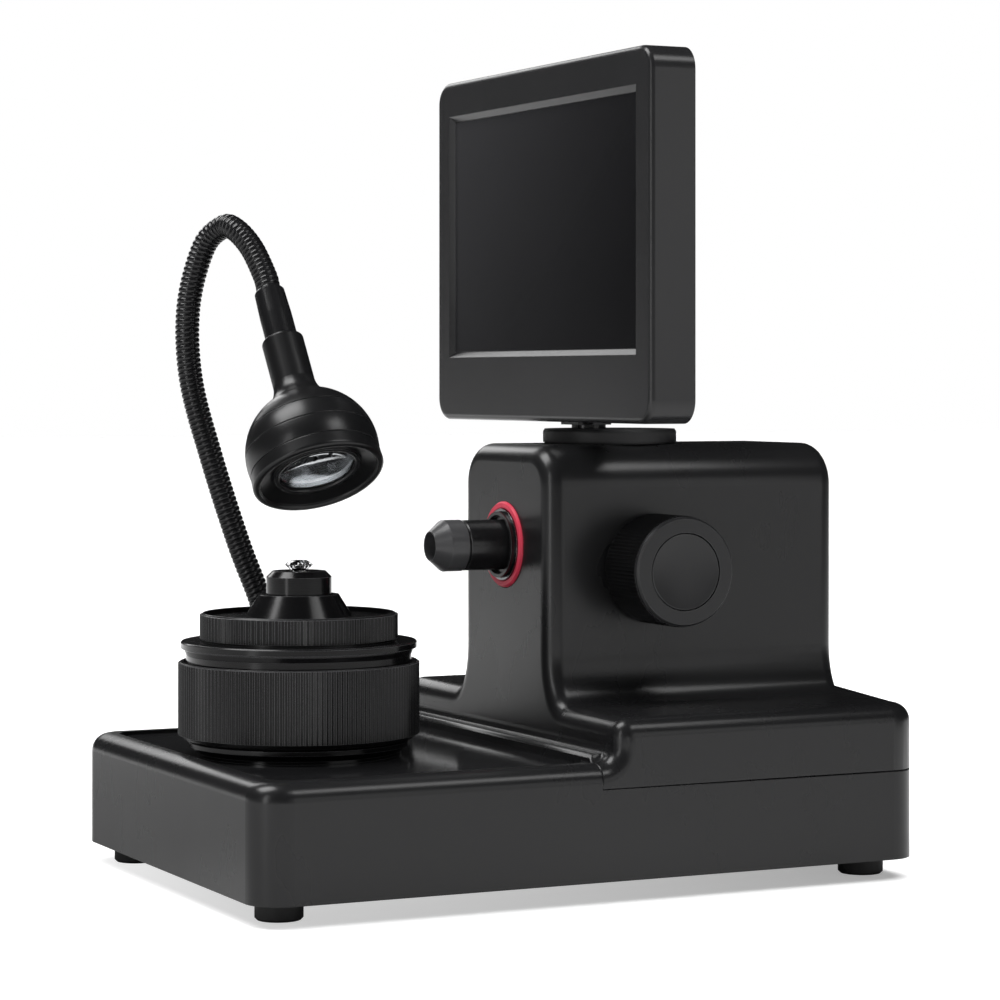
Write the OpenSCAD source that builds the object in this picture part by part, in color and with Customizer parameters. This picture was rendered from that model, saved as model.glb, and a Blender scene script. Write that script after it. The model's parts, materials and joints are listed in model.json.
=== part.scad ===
// Desktop digital microscope for looking at gem girdles: a two-part base with a knurled lift
// stage, a gooseneck lamp, a side-looking focusing objective and a screen on a turntable.
// Frame: origin under the middle of the base at table level, +X to the user's right,
// +Y to the rear, +Z up. All sizes in millimetres.

/* [Base] */
// Width of the base
base_w = 129.3; // [126:0.1:140]
// Depth of the base, front to rear
base_l = 185; // [182:0.5:200]
// Height of the rim round the front platform
rim_top = 34; // [33:0.25:36]
// Height of the deck beside the tower
deck_top = 45; // [43:0.25:48]
// Height of the joint between tray and cover
seam_z = 27.8; // [26.5:0.1:29]
// Radius of the base's upright corners
corner_r = 9; // [7:0.5:12]
// Radius of the base's and cover's soft edges
edge_r = 4.6; // [3:0.1:4.8]
// Wall of the tray and the cover
wall = 3; // [2:0.25:3.5]
// Width of the rim round the platform
rim_w = 6.5; // [5:0.25:8]
// Depth of the platform plate's surface below the rim
platform_drop = 1; // [0.5:0.1:1.5]
// Thickness of the glossy platform plate
platform_t = 1.2; // [1:0.1:1.6]
// Thickness of the tray's top under the plate
tray_top_t = 2.8; // [2:0.1:3.2]
// Thickness of the bottom plate
bottom_t = 2; // [1.5:0.1:3]

/* [Feet] */
// Height of a rubber foot
foot_h = 5; // [3:0.25:6]
// Diameter of a rubber foot
foot_d = 11.8; // [8:0.2:13]
// Distance of a foot's centre from the base's side
foot_inset_x = 13.65; // [13:0.05:25]
// Distance of a foot's centre from the base's front or rear
foot_inset_y = 10.5; // [9.5:0.25:20]

/* [Tower] */
// Width of the tower
tower_w = 52; // [50:0.5:56]
// Length of the tower, front to rear
tower_l = 87; // [82:0.5:88]
// Height of the tower's top above the table
tower_top = 112; // [108:0.5:114]
// Radius of the tower's long top edges
tower_top_r = 8; // [6:0.5:12]
// Radius of the flare at the tower's foot
flare_r = 10; // [6:0.5:12]
// Step from the tower's rear down to the base's rear
rear_step = 2.5; // [2:0.25:4]
// Length of the toe in front of the tower
toe_l = 4.5; // [4.4:0.1:6]
// Radius of the hollow between toe and front wall
toe_r = 4.3; // [3:0.1:4.3]

/* [Optics] */
// Height of the optical axis above the table
optic_z = 85.4; // [83:0.2:87]
// Reach of the objective in front of the tower
obj_reach = 21.8; // [18:0.2:24]
// Radius of the objective's barrel
obj_r = 6.8; // [6:0.1:7.5]
// Length of the objective's nose
nose_l = 8.5; // [7:0.1:10]
// Radius of the objective's open tip
obj_tip_r = 4; // [3.4:0.1:4.5]
// Radius of the camera tube
tube_r = 8.75; // [8.2:0.05:9.5]
// Reach of the camera tube in front of the tower
tube_reach = 2.2; // [1.5:0.1:3.5]
// Wall of the bush round the camera tube
port_wall = 0.7; // [0.5:0.1:1.2]
// Width of the coloured ring's face
port_ring_w = 1.85; // [1:0.05:3]
// How far the coloured ring stands proud
port_ring_proud = 0.75; // [0.5:0.05:1.5]
// Running clearance of slides and shafts
run_gap = 0.05; // [0.02:0.01:0.08]

/* [Focus] */
// Distance of the focus shaft behind the tower's front
focus_back = 30; // [28:0.5:33]
// Distance of the focus shaft below the optical axis
focus_drop = 5.7; // [5.2:0.1:7]
// Radius of the focus knob
knob_r = 14.4; // [12:0.2:17]
// Length of the focus knob
knob_l = 18.4; // [14:0.2:24]
// Gap between the knob and the tower's side
knob_gap = 0.6; // [0.4:0.1:1.5]
// Radius of the knob's cap
cap_r = 9.9; // [7:0.1:11]
// Diameter of the focus shaft
shaft_d = 3; // [2.6:0.1:3.4]
// Teeth on the pinion
pinion_teeth = 12; // [12:1:14]
// Module of the rack and pinion
gear_m = 0.5; // [0.45:0.01:0.55]
// Ribs round the focus knob
knob_ribs = 90; // [60:1:100]

/* [Monitor] */
// Width of the monitor
mon_w = 126.4; // [120:0.2:129]
// Height of the monitor
mon_h = 95.2; // [90:0.2:105]
// Depth of the monitor
mon_d = 12.8; // [12:0.2:18]
// Distance of the monitor's face behind the tower's front
mon_back = 9.7; // [9:0.1:12]
// Radius of the monitor's corners
mon_r = 6; // [4:0.5:8]
// Radius of the monitor's front edges
mon_edge_r = 1.5; // [0.75:0.25:2]
// Wall of the monitor's case
mon_wall = 2.4; // [2:0.1:3]
// Depth of the screen's surface behind the face
screen_drop = 1.4; // [1:0.1:2]
// Border at each side of the screen's opening
bezel_w = 7.8; // [6.6:0.1:10]
// Border above the screen's opening
bezel_top = 9.8; // [9:0.1:12]
// Height of the chin below the opening
chin_h = 17.4; // [16:0.2:19]
// Slope of the opening's border, seen from the front
bevel_w = 1.7; // [1:0.1:2.5]
// Thickness of the panel behind the opening
panel_t = 3.6; // [2:0.1:4]
// Radius of the turntable
turn_r = 18; // [15:0.5:20]
// Thickness of the turntable
turn_h = 4; // [3:0.25:5]
// Distance of the turntable's axis behind the tower's front
turn_back = 31.65; // [31:0.05:33]
// Gap between the turntable and the monitor
mon_gap = 2; // [1.5:0.1:4]

/* [Stage] */
// Distance of the stage's axis behind the base's front
stage_inset = 36.6; // [36:0.2:42]
// Radius of the stage's foot
foot_disc_r = 28.5; // [26:0.1:30.6]
// Thickness of the stage's foot
foot_disc_h = 4; // [3.5:0.1:4.5]
// Radius of the height ring over its ribs
ring_r = 31.05; // [30.6:0.05:33]
// Height of the height ring
ring_h = 19.6; // [18:0.2:22]
// Radius of the skirt that slides in the height ring
skirt_r = 29; // [27:0.1:29.2]
// Gap between the height ring and the flange at rest
lift_gap = 3.3; // [3:0.1:5]
// Radius of the lift's flange
flange_r = 30.4; // [29.6:0.1:31]
// Thickness of the lift's flange
flange_h = 1.9; // [1.5:0.1:3]
// Radius of the turning table over its ribs
table_r = 25.5; // [22:0.1:27]
// Height of the turning table
table_h = 7.2; // [6:0.1:9]
// Depth of the ribs
rib_h = 0.4; // [0.2:0.05:0.5]
// Ribs round the height ring
ring_ribs = 150; // [90:1:160]
// Ribs round the turning table
table_ribs = 100; // [80:1:140]
// Depth of the plate in the turning table below its rim
plate_drop = 1.35; // [0.8:0.05:1.6]
// Foot radius of the cone holder
cone_r = 13.8; // [12:0.1:16]
// Top radius of the cone holder
cone_top_r = 10.3; // [9.5:0.1:11.5]
// Height of the cone holder
cone_h = 6; // [5:0.1:7]
// Radius of the stone cup
cup_r = 8.4; // [7:0.1:9]
// Height of the stone cup
cup_h = 6; // [4.5:0.1:7]
// Diameter of the sample stone
stone_d = 7.1; // [5:0.1:8]

/* [Lamp] */
// Distance of the lamp's socket from the base's left side
socket_inset = 13.65; // [13:0.25:16]
// Distance of the lamp's socket behind the stage's axis
socket_back = 13.9; // [12:0.2:18]
// Diameter of the gooseneck
neck_d = 6.6; // [5:0.1:6.7]
// Radius of the lamp head's dome
dome_r = 17.5; // [17:0.1:19]
// Radius of the head's own neck
head_neck_r = 5.6; // [5.2:0.1:6]
// Length from the lens to the top of the head's neck
head_neck_s = 40; // [38:0.5:44]
// Length from the lens to the top of the sleeve
sleeve_s = 55.5; // [53:0.5:58]
// Radius of the lamp's lens
lens_r = 10.6; // [9:0.1:11]
// Tilt of the lamp's beam from straight down
lamp_tilt = 32.3; // [28:0.1:36]

/* [Electronics] */
// Diameter of the power inlet's mouth
inlet_d = 5.5; // [5:0.1:6]
// Radius of the power button
button_r = 5; // [4:0.25:6]
// Travel of the power button
button_travel = 1.5; // [1:0.1:2]

/* [Hidden] */
$fn = 96;

// Base, seen from above
half_w = base_w / 2;
front_y = -base_l / 2;
rear_y = base_l / 2;
platform_z = rim_top - platform_drop;
floor_z = platform_z - platform_t;
tray_roof_z = floor_z - tray_top_t;
plate_top_z = foot_h + bottom_t;
inner_r = corner_r - wall;
inner_x = half_w - wall;
fit_gap = 0.2;
touch = 0.01;

// Tower and cover
tower_rear_y = rear_y - rear_step;
tower_front_y = tower_rear_y - tower_l;
joint_y = tower_front_y - toe_l;
tower_half = tower_w / 2;
hollow_y0 = tower_front_y + wall;
hollow_y1 = tower_rear_y - wall;
hollow_x = tower_half - wall;
tower_roof_z = tower_top - wall - 1;
deck_roof_z = deck_top - wall;
toe_axis_y = tower_front_y - toe_r;
toe_axis_z = rim_top + toe_r;

// Screw posts
post_r = 4.5;
post_x = inner_x - 3;
post_front_y = tower_front_y + 16;
post_rear_y = rear_y - 14;
plate_post_r = 4;
plate_post_x = inner_x - 3.4;
plate_post_y = base_l / 2 - 32;
screw_r = 1.35;
screw_head_r = 2.8;
screw_seat_z = plate_top_z + 12;

// Optics
obj_tip_y = tower_front_y - obj_reach;
tube_front_y = tower_front_y - tube_reach;
groove_y = obj_tip_y + nose_l;
nose_cone_l = 3.5;
barrel_r = obj_r - 0.15;
tube_end_y = tower_front_y + 17;
block_end_y = tube_end_y + 26;
block_half = 10;
bush_r = tube_r + run_gap + port_wall;
bush_front_y = tower_front_y - 1;
frame_t = 2.5;
frame_half = hollow_x - 1;
frame_floor_z = optic_z - 21.5;
frame_top_z = optic_z + 16;
frame_rear_y = block_end_y + 11;
rod_r = 2;
rod_x = -14;
rod_rise = 6;
thread_r = 6.1;
bore_r = 5;

// Focus drive
focus_y = tower_front_y + focus_back;
focus_z = optic_z - focus_drop;
shaft_r = shaft_d / 2;
pinion_r = gear_m * pinion_teeth / 2;
pitch = PI * gear_m;
pinion_x = block_half + 1;
pinion_w = 4;
rack_w = 5;
rack_teeth = 16;
rack_root_z = focus_z + pinion_r + 1.25 * gear_m;
rack_h = 3.6;
backlash = 0.06;
knob_x = tower_half + knob_gap;
knob_end_x = knob_x + knob_l;
hub_flange_r = 5.5;
bush_out_r = shaft_r + 2.5;
cap_recess = 2.2;

// Monitor
mon_y = tower_front_y + mon_back;
mon_rear_y = mon_y + mon_d;
mon_z = tower_top + turn_h + mon_gap;
turn_y = tower_front_y + turn_back;
turn_hub_r = 6;
back_t = 2;
back_y = mon_rear_y - back_t;
panel_y = mon_y + screen_drop;
open_z = mon_z + chin_h;
open_w = mon_w - 2 * bezel_w;
open_h = mon_h - chin_h - bezel_top;
board_t = 1.6;
mon_board_y = back_y - 2.4 - board_t;
mon_post_x = mon_w / 2 - mon_wall - 2.6;
mon_post_z = mon_h / 2 - mon_wall - 2.6;
mon_board_w = mon_w - 2 * mon_wall - 33.6;
mon_board_h = mon_h - 2 * mon_wall - 32.4;
mon_chip = 14;
mon_mid_z = mon_z + mon_h / 2;
stud_y = mon_rear_y + 2.8;
stud_r = 4.6;

// Stage
stage_y = front_y + stage_inset;
foot_disc_top = platform_z + foot_disc_h;
ring_z = foot_disc_top + 0.3;
ring_top = ring_z + ring_h;
ring_bore_r = skirt_r + run_gap;
hub_r = 10;
hub_top = ring_top - 5;
stem_r = 6;
web_t = 2.7;
flange_z = ring_top + lift_gap;
flange_top = flange_z + flange_h;
skirt_z = ring_z + web_t + 2.5;
skirt_wall = 3;
boss_r = 8;
boss_h = 2.9;
table_top = flange_top + table_h;
plate_inset = 1.1;
plate_t = 0.8;
plate_top = table_top - plate_drop;
cone_top = plate_top + cone_h;
cup_top = cone_top + cup_h;
girdle_z = cup_top + 1.5;
culet_z = girdle_z - 0.42 * stone_d;

// Lamp
socket_x = -half_w + socket_inset;
socket_y = stage_y + socket_back;
neck_r = neck_d / 2;
socket_bore_r = neck_r + 0.75;
ferrule_r = socket_bore_r - run_gap;
socket_r = socket_bore_r + 2.2;
socket_h = 7;
ferrule_top = platform_z + 13;
dome_s = 5;
rim_s = 1.7;
lip_s = -2.5;
shell_t = 2;
neck_blend = 8;
sleeve_end_s = head_neck_s - 6;
neck_entry = 10;

// Lens centre, measured from the socket on the platform, and the way back along the head
head_at = [48.9, -8, 72.8];
head_turn = 2.9;
head_dir = [
    -sin(lamp_tilt) * cos(head_turn), -sin(lamp_tilt) * sin(head_turn), cos(lamp_tilt)
];
// Centre line of the gooseneck from socket to sleeve, measured from the socket
neck_points = [
    [0, 0, -2], [0, 0, 6], [0, 0, 14], [-0.4, -0.6, 22], [-2.2, -3.3, 35],
    [-4.9, -8.9, 51.5], [-7.3, -15.9, 74.8], [-8.7, -21.3, 96.2], [-8.3, -22.2, 115.9],
    [-5.4, -18.9, 132.2], [-0.6, -15.1, 137.7], [4.9, -13.4, 136.7], [10.7, -11.1, 131.6],
    head_at + (sleeve_s + 5) * head_dir, head_at + (sleeve_s + 0.5) * head_dir,
    head_at + (sleeve_s - neck_entry) * head_dir
];
neck_steps = 5;
neck_sides = 12;
neck_side_dir = [-0.5, 0.85, 0.14];

// Electronics
board_z = plate_top_z + 4;
board_w = 96;
board_l = 52;
board_y = rear_y - wall - 1.5 - board_l;
part_z = board_z + board_t;
inlet_x = 36;
inlet_z = part_z + 5.5;
button_x = -36;
button_y = rear_y - 0.3;
switch_y = rear_y - wall - 6.5;

// ---------- plain shapes ----------

// Tube or disc along Z
module ring(ro, ri, z0, z1) {
    translate([0, 0, z0]) difference() {
        cylinder(r = ro, h = z1 - z0);
        translate([0, 0, -1]) cylinder(r = ri, h = z1 - z0 + 2);
    }
}

// Cylinder along Y from y0 to y1
module bar_y(r, y0, y1) {
    translate([0, y0, 0]) rotate([-90, 0, 0]) cylinder(r = r, h = y1 - y0);
}

// Cylinder along X from x0 to x1
module bar_x(r, x0, x1) {
    translate([x0, 0, 0]) rotate([0, 90, 0]) cylinder(r = r, h = x1 - x0);
}

// Repeats its children at the four corners of a rectangle
module four(x, y) {
    for (sx = [-1, 1], sy = [-1, 1]) translate([sx * x, sy * y, 0]) children();
}

// Repeats its children at both signs of x
module pair(x) {
    for (s = [-1, 1]) translate([s * x, 0, 0]) children();
}

// Rectangle with round corners, centred
module round_rect(w, l, r) {
    square([w - 2 * r, l], center = true);
    square([w, l - 2 * r], center = true);
    for (sx = [-1, 1], sy = [-1, 1]) translate([sx * (w / 2 - r), sy * (l / 2 - r)]) circle(r);
}

// Quarter disc in the first quadrant
module quarter(r) {
    intersection() {
        circle(r);
        square([r, r]);
    }
}

// Section with both top corners rounded: width w, height h above zero
module loaf(w, h, r) {
    translate([-w / 2, 0]) square([w, h - r]);
    translate([-w / 2 + r, 0]) square([w - 2 * r, h]);
    for (s = [-1, 1]) translate([s * (w / 2 - r), h - r]) circle(r);
}

// Slab with upright corners rc and a soft top edge re
module soft_slab(w, l, h, rc, re) {
    rotate([90, 0, 0]) linear_extrude(l - 2 * rc, center = true) loaf(w, h, re);
    rotate([90, 0, 90]) linear_extrude(w - 2 * rc, center = true) loaf(l, h, re);
    four(w / 2 - rc, l / 2 - rc) soft_post(h, rc, re);
}

// Round post with a soft top edge
module soft_post(h, rc, re) {
    rotate_extrude() {
        square([rc, h - re]);
        square([rc - re, h]);
        translate([rc - re, h - re]) quarter(re);
    }
}

// Ribbed drum: straight V ribs between radius r - depth and r
module ribbed(r, h, ribs, depth) {
    linear_extrude(h) polygon([
        for (i = [0 : 2 * ribs - 1])
            let (a = i * 180 / ribs, q = i % 2 == 0 ? r : r - depth)
            [q * cos(a), q * sin(a)]
    ]);
}

// Screw with a flat countersunk head at z = 0, pointing up
module flat_screw(r, head_r, l) {
    cylinder(r1 = head_r, r2 = r, h = head_r - r);
    cylinder(r = r, h = l);
}

// Screw with a round pan head below z = 0, pointing up
module pan_screw(r, head_r, head_h, l) {
    cylinder(r = r, h = l);
    translate([0, 0, -head_h]) difference() {
        cylinder(r = head_r, h = head_h);
        translate([0, 0, -touch]) cylinder(r = r * 0.8, h = head_h * 0.6, $fn = 6);
    }
}

// ---------- base ----------

module tray_hollow() {
    translate([0, 0, foot_h - 1]) linear_extrude(tray_roof_z - foot_h + 1)
        round_rect(2 * inner_x, base_l - 2 * wall, inner_r);
}

module tray_posts() {
    for (y = [post_front_y, post_rear_y]) pair(post_x) translate([0, y, plate_top_z])
        cylinder(r = post_r, h = seam_z - plate_top_z);
    for (y = [-plate_post_y, plate_post_y]) pair(plate_post_x) translate([0, y, plate_top_z])
        cylinder(r = plate_post_r, h = (y < joint_y ? tray_roof_z : seam_z) - plate_top_z);
}

module platform_outline(gap) {
    w = base_w - 2 * rim_w - 2 * gap;
    l = joint_y - front_y - rim_w;
    translate([0, joint_y - l / 2]) intersection() {
        round_rect(w, l - 2 * gap, corner_r - 3);
        square([w, l - 2 * gap], center = true);
    }
}

module base_tray() {
    color("#26272a") difference() {
        union() {
            difference() {
                translate([0, 0, foot_h])
                    soft_slab(base_w, base_l, rim_top - foot_h, corner_r, edge_r);
                tray_hollow();
                translate([-base_w, joint_y, seam_z]) cube([2 * base_w, base_l, 20]);
                translate([-inner_x, joint_y + wall, tray_roof_z - 6])
                    cube([2 * inner_x, rear_y - joint_y - wall - corner_r, 20]);
                translate([-inner_x + corner_r, joint_y + wall, tray_roof_z - 6])
                    cube([2 * (inner_x - corner_r), rear_y - joint_y - 2 * wall, 20]);
            }
            intersection() {
                tray_posts();
                translate([0, 0, foot_h]) linear_extrude(rim_top)
                    round_rect(base_w - 1, base_l - 1, corner_r - 0.5);
            }
        }
        translate([0, 0, floor_z]) linear_extrude(rim_top) platform_outline(0);
        for (y = [post_front_y, post_rear_y]) pair(post_x) translate([0, y, 0]) {
            cylinder(r = screw_r + fit_gap, h = seam_z + 1);
            cylinder(r = screw_head_r + fit_gap, h = screw_seat_z);
        }
        for (y = [-plate_post_y, plate_post_y]) pair(plate_post_x)
            translate([0, y, 0]) cylinder(r = screw_r + run_gap, h = plate_top_z + 10);
        stage_holes(floor_z - tray_top_t - 1, floor_z + 1);
        translate([socket_x, socket_y, 0]) cylinder(r = socket_bore_r + 1 + fit_gap, h = rim_top);
        translate([inlet_x, 0, inlet_z]) bar_y(inlet_d / 2 + 1.6, rear_y - wall - 1, rear_y + 1);
        translate([button_x, 0, inlet_z]) bar_y(button_r + 0.3, rear_y - wall - 1, rear_y + 1);
    }
}

module bottom_plate() {
    color("#1c1c1e") difference() {
        union() {
            translate([0, 0, foot_h]) linear_extrude(bottom_t) round_rect(
                2 * (inner_x - fit_gap), base_l - 2 * (wall + fit_gap), inner_r - fit_gap);
            board_posts() cylinder(r = 3, h = board_z - plate_top_z);
        }
        for (y = [-plate_post_y, plate_post_y]) pair(plate_post_x)
            translate([0, y, foot_h]) {
                cylinder(r = screw_r + fit_gap, h = 10);
                translate([0, 0, -touch])
                    cylinder(r1 = screw_head_r + fit_gap, r2 = screw_r + fit_gap,
                        h = screw_head_r - screw_r);
            }
        board_posts() translate([0, 0, -1]) cylinder(r = 1.1, h = 10);
    }
}

module board_posts() {
    translate([0, board_y + board_l / 2, plate_top_z]) four(board_w / 2 - 5, board_l / 2 - 5)
        children();
}

module rubber_feet() {
    color("#141414") four(half_w - foot_inset_x, base_l / 2 - foot_inset_y) {
        cylinder(r1 = foot_d / 2 - 0.6, r2 = foot_d / 2, h = 0.6);
        translate([0, 0, 0.6]) cylinder(r = foot_d / 2, h = foot_h - 0.6);
    }
}

module case_screws() {
    color("#8a8a8c") for (y = [-plate_post_y, plate_post_y]) pair(plate_post_x)
        translate([0, y, foot_h]) flat_screw(screw_r, screw_head_r, bottom_t + 8);
}

module cover_screws() {
    color("#8a8a8c") for (y = [post_front_y, post_rear_y]) pair(post_x)
        translate([0, y, screw_seat_z])
            pan_screw(screw_r, screw_head_r, 2.4, seam_z - screw_seat_z + 7);
}

module platform_plate() {
    color("#0d0d0f") difference() {
        translate([0, 0, floor_z]) linear_extrude(platform_t) platform_outline(0.15);
        stage_holes(floor_z - 1, platform_z + 1);
        translate([socket_x, socket_y, 0]) cylinder(r = socket_bore_r + 1 + fit_gap, h = rim_top);
    }
}

// ---------- cover ----------

// Front outline of tower, flare and deck, drawn inset all round
module cover_outline(inset, deck_half) {
    top_r = tower_top_r - inset;
    translate([0, seam_z]) {
        square_up(tower_half - inset, tower_top - tower_top_r - seam_z);
        square_up(tower_half - tower_top_r, tower_top - inset - seam_z);
        square_up(deck_half, deck_top - inset - seam_z);
    }
    for (s = [-1, 1]) translate([s * (tower_half - tower_top_r), tower_top - tower_top_r])
        circle(top_r);
    difference() {
        translate([0, seam_z]) square_up(tower_half + flare_r, deck_top + flare_r - seam_z);
        for (s = [-1, 1]) translate([s * (tower_half + flare_r), deck_top + flare_r])
            circle(flare_r + inset);
    }
}

// Rectangle on the X axis, centred in x
module square_up(half, h) {
    translate([-half, 0]) square([2 * half, h]);
}

// Extrudes a front outline from y0 to y1
module along_y(y0, y1) {
    translate([0, y1, 0]) rotate([90, 0, 0]) linear_extrude(y1 - y0) children();
}

// Soft edge that follows the tower's outline, in the plane y = 0
module tower_edges() {
    translate([0, 0, tower_top - edge_r])
        bar_x(edge_r, -tower_half + tower_top_r, tower_half - tower_top_r);
    for (s = [-1, 1]) {
        translate([s * (tower_half - edge_r), 0, deck_top + flare_r])
            cylinder(r = edge_r, h = tower_top - tower_top_r - deck_top - flare_r);
        translate([s * (tower_half + flare_r), 0, deck_top + flare_r])
            rotate([90, s > 0 ? 180 : 90, 0]) rotate_extrude(angle = 90)
                translate([flare_r + edge_r, 0]) mirror([1, 0]) quarter(edge_r);
    }
}

// Rounded corner of the tower's outline with its soft edge, front towards -y
module tower_shoulders() {
    pair(tower_half - tower_top_r) translate([0, edge_r, tower_top - tower_top_r])
        rotate([90, 0, 0]) rotate_extrude() {
            square([tower_top_r - edge_r, edge_r]);
            intersection() {
                translate([tower_top_r - edge_r, 0]) quarter(edge_r);
                square([tower_top_r, edge_r]);
            }
        }
}

// Side view of the toe with its hollow, inset by c
module toe_side(c) {
    difference() {
        translate([joint_y, seam_z])
            square([tower_front_y + edge_r - joint_y, toe_axis_z - seam_z]);
        translate([toe_axis_y, toe_axis_z]) circle(toe_r + c);
        translate([joint_y - 1, rim_top - c])
            square([toe_axis_y - joint_y + 1, toe_r + c + 1]);
    }
}

module cover_toe() {
    x = half_w - edge_r;
    rotate([90, 0, 90]) linear_extrude(2 * x, center = true) toe_side(0);
    rotate([90, 0, 90]) linear_extrude(2 * half_w, center = true) toe_side(edge_r);
    pair(x) {
        intersection() {
            union() {
                translate([0, 0, rim_top - edge_r]) bar_y(edge_r, joint_y, toe_axis_y);
                translate([0, toe_axis_y, toe_axis_z]) rotate([0, 90, 0])
                    rotate_extrude(angle = 90) translate([toe_r + edge_r, 0]) circle(edge_r);
            }
            translate([-2 * edge_r, joint_y - edge_r, seam_z])
                cube([4 * edge_r, base_l, deck_top - seam_z]);
        }
        translate([0, tower_front_y + edge_r, toe_axis_z - touch])
            cylinder(r = edge_r, h = max(deck_top - edge_r - toe_axis_z, 0) + touch);
        translate([0, tower_front_y + edge_r, deck_top - edge_r]) sphere(edge_r);
    }
}

module cover_body() {
    cap_y = tower_front_y + edge_r;
    deck_y = rear_y - corner_r;
    along_y(cap_y, deck_y) translate([0, seam_z]) loaf(base_w, deck_top - seam_z, edge_r);
    translate([0, 0, seam_z]) {
        pair(half_w - corner_r) translate([0, deck_y, 0])
            soft_post(deck_top - seam_z, corner_r, edge_r);
        rotate([90, 0, 90]) linear_extrude(2 * (half_w - corner_r), center = true)
            translate([cap_y, 0]) {
                square([rear_y - cap_y, deck_top - seam_z - edge_r]);
                square([rear_y - cap_y - edge_r, deck_top - seam_z]);
                translate([rear_y - cap_y - edge_r, deck_top - seam_z - edge_r]) quarter(edge_r);
            }
    }
    along_y(cap_y, tower_rear_y - edge_r) cover_outline(0, tower_half + flare_r);
    along_y(tower_front_y, cap_y) cover_outline(edge_r, half_w - edge_r);
    along_y(tower_rear_y - edge_r, tower_rear_y) cover_outline(edge_r, tower_half + flare_r);
    translate([0, tower_front_y, 0]) tower_shoulders();
    translate([0, cap_y, 0]) tower_edges();
    translate([0, cap_y, deck_top - edge_r]) bar_x(edge_r, -half_w + edge_r, half_w - edge_r);
    translate([0, tower_rear_y, 0]) mirror([0, 1, 0]) tower_shoulders();
    translate([0, tower_rear_y - edge_r, 0]) mirror([0, 1, 0]) tower_edges();
    cover_toe();
}

module cover_hollow() {
    translate([-hollow_x, hollow_y0, seam_z - 1])
        cube([2 * hollow_x, hollow_y1 - hollow_y0, tower_roof_z - seam_z + 1]);
    translate([0, (hollow_y0 + rear_y - wall) / 2, seam_z - 1])
        linear_extrude(deck_roof_z - seam_z + 1)
            round_rect(2 * inner_x, rear_y - wall - hollow_y0, inner_r);
}

module upper_cover() {
    color("#2a2b2e") difference() {
        union() {
            difference() {
                cover_body();
                cover_hollow();
            }
            intersection() {
                for (y = [post_front_y, post_rear_y]) pair(post_x) translate([0, y, seam_z])
                    cylinder(r = post_r, h = deck_roof_z - seam_z + 1);
                translate([0, 0, seam_z]) linear_extrude(deck_top)
                    round_rect(base_w - 1, base_l - 1, corner_r - 0.5);
            }
        }
        for (y = [post_front_y, post_rear_y]) pair(post_x) translate([0, y, seam_z - 1])
            cylinder(r = screw_r + run_gap, h = 10);
        translate([0, 0, optic_z]) {
            bar_y(bush_r + run_gap, tower_front_y - 1, hollow_y0 + 1);
            bar_y(bush_r + port_ring_w + 2 * run_gap, tower_front_y - 1, tower_front_y + 1);
        }
        translate([0, focus_y, focus_z]) bar_x(bush_out_r + run_gap, hollow_x - 1, tower_half + 1);
        translate([0, turn_y, tower_roof_z - 1]) cylinder(r = turn_hub_r + run_gap, h = 20);
    }
}

// ---------- optics ----------

module at_axis() {
    translate([0, 0, optic_z]) children();
}

// Revolved section whose second coordinate runs along +Y from y0
module lathe_y(y0) {
    translate([0, y0, 0]) rotate([-90, 0, 0]) rotate_extrude() children();
}

module port_bush() {
    color("#2b2d2c") at_axis() difference() {
        union() {
            bar_y(bush_r, bush_front_y, hollow_y0 + frame_t);
        }
        bar_y(tube_r + run_gap, bush_front_y - 1, hollow_y0 + frame_t + 1);
    }
}

module port_ring() {
    y0 = -port_ring_proud;
    ri = bush_r + run_gap;
    color("#c0182a") at_axis() lathe_y(tower_front_y) difference() {
        polygon([
            [ri + 0.3, y0], [ri + port_ring_w - 0.4, y0], [ri + port_ring_w, y0 + 0.5],
            [ri + port_ring_w, 1], [ri, 1], [ri, y0 + 0.3]
        ]);
    }
}

module optics_frame() {
    h = frame_top_z - frame_floor_z;
    color("#8d9094") difference() {
        union() {
            translate([-frame_half, hollow_y0, frame_floor_z])
                cube([2 * frame_half, frame_t, h]);
            translate([-frame_half, hollow_y0, frame_floor_z])
                cube([2 * frame_half, frame_rear_y - hollow_y0, frame_t]);
            translate([-frame_half, frame_rear_y - frame_t, frame_floor_z])
                cube([frame_half, frame_t, h]);
        }
        at_axis() bar_y(bush_r + run_gap, hollow_y0 - 1, hollow_y0 + frame_t + 1);
        rods(rod_r + run_gap, hollow_y0 - 1, frame_rear_y + 1);
    }
}

// Pair of rods beside the camera block
module rods(r, y0, y1) {
    for (s = [-1, 1]) translate([rod_x, 0, optic_z + s * rod_rise]) bar_y(r, y0, y1);
}

module guide_rods() {
    color("#c9cbce") rods(rod_r, hollow_y0, frame_rear_y);
}

module shaft_bush() {
    color("#b08d3f") translate([0, focus_y, focus_z]) difference() {
        union() {
            bar_x(bush_out_r, hollow_x - 1.5, tower_half);
            bar_x(hub_flange_r, hollow_x - 1.5, hollow_x);
        }
        bar_x(shaft_r + run_gap, hollow_x - 3, tower_half + 1);
    }
}

module camera_tube() {
    color("#1d1e20") at_axis() difference() {
        bar_y(tube_r, tube_front_y, tube_end_y);
        bar_y(tube_r - 0.9, tube_front_y - 1, tube_front_y + 1.2);
        bar_y(thread_r + run_gap, tube_front_y - 1, tube_front_y + 7);
        bar_y(bore_r, tube_front_y, tube_end_y + 1);
    }
}

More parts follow.
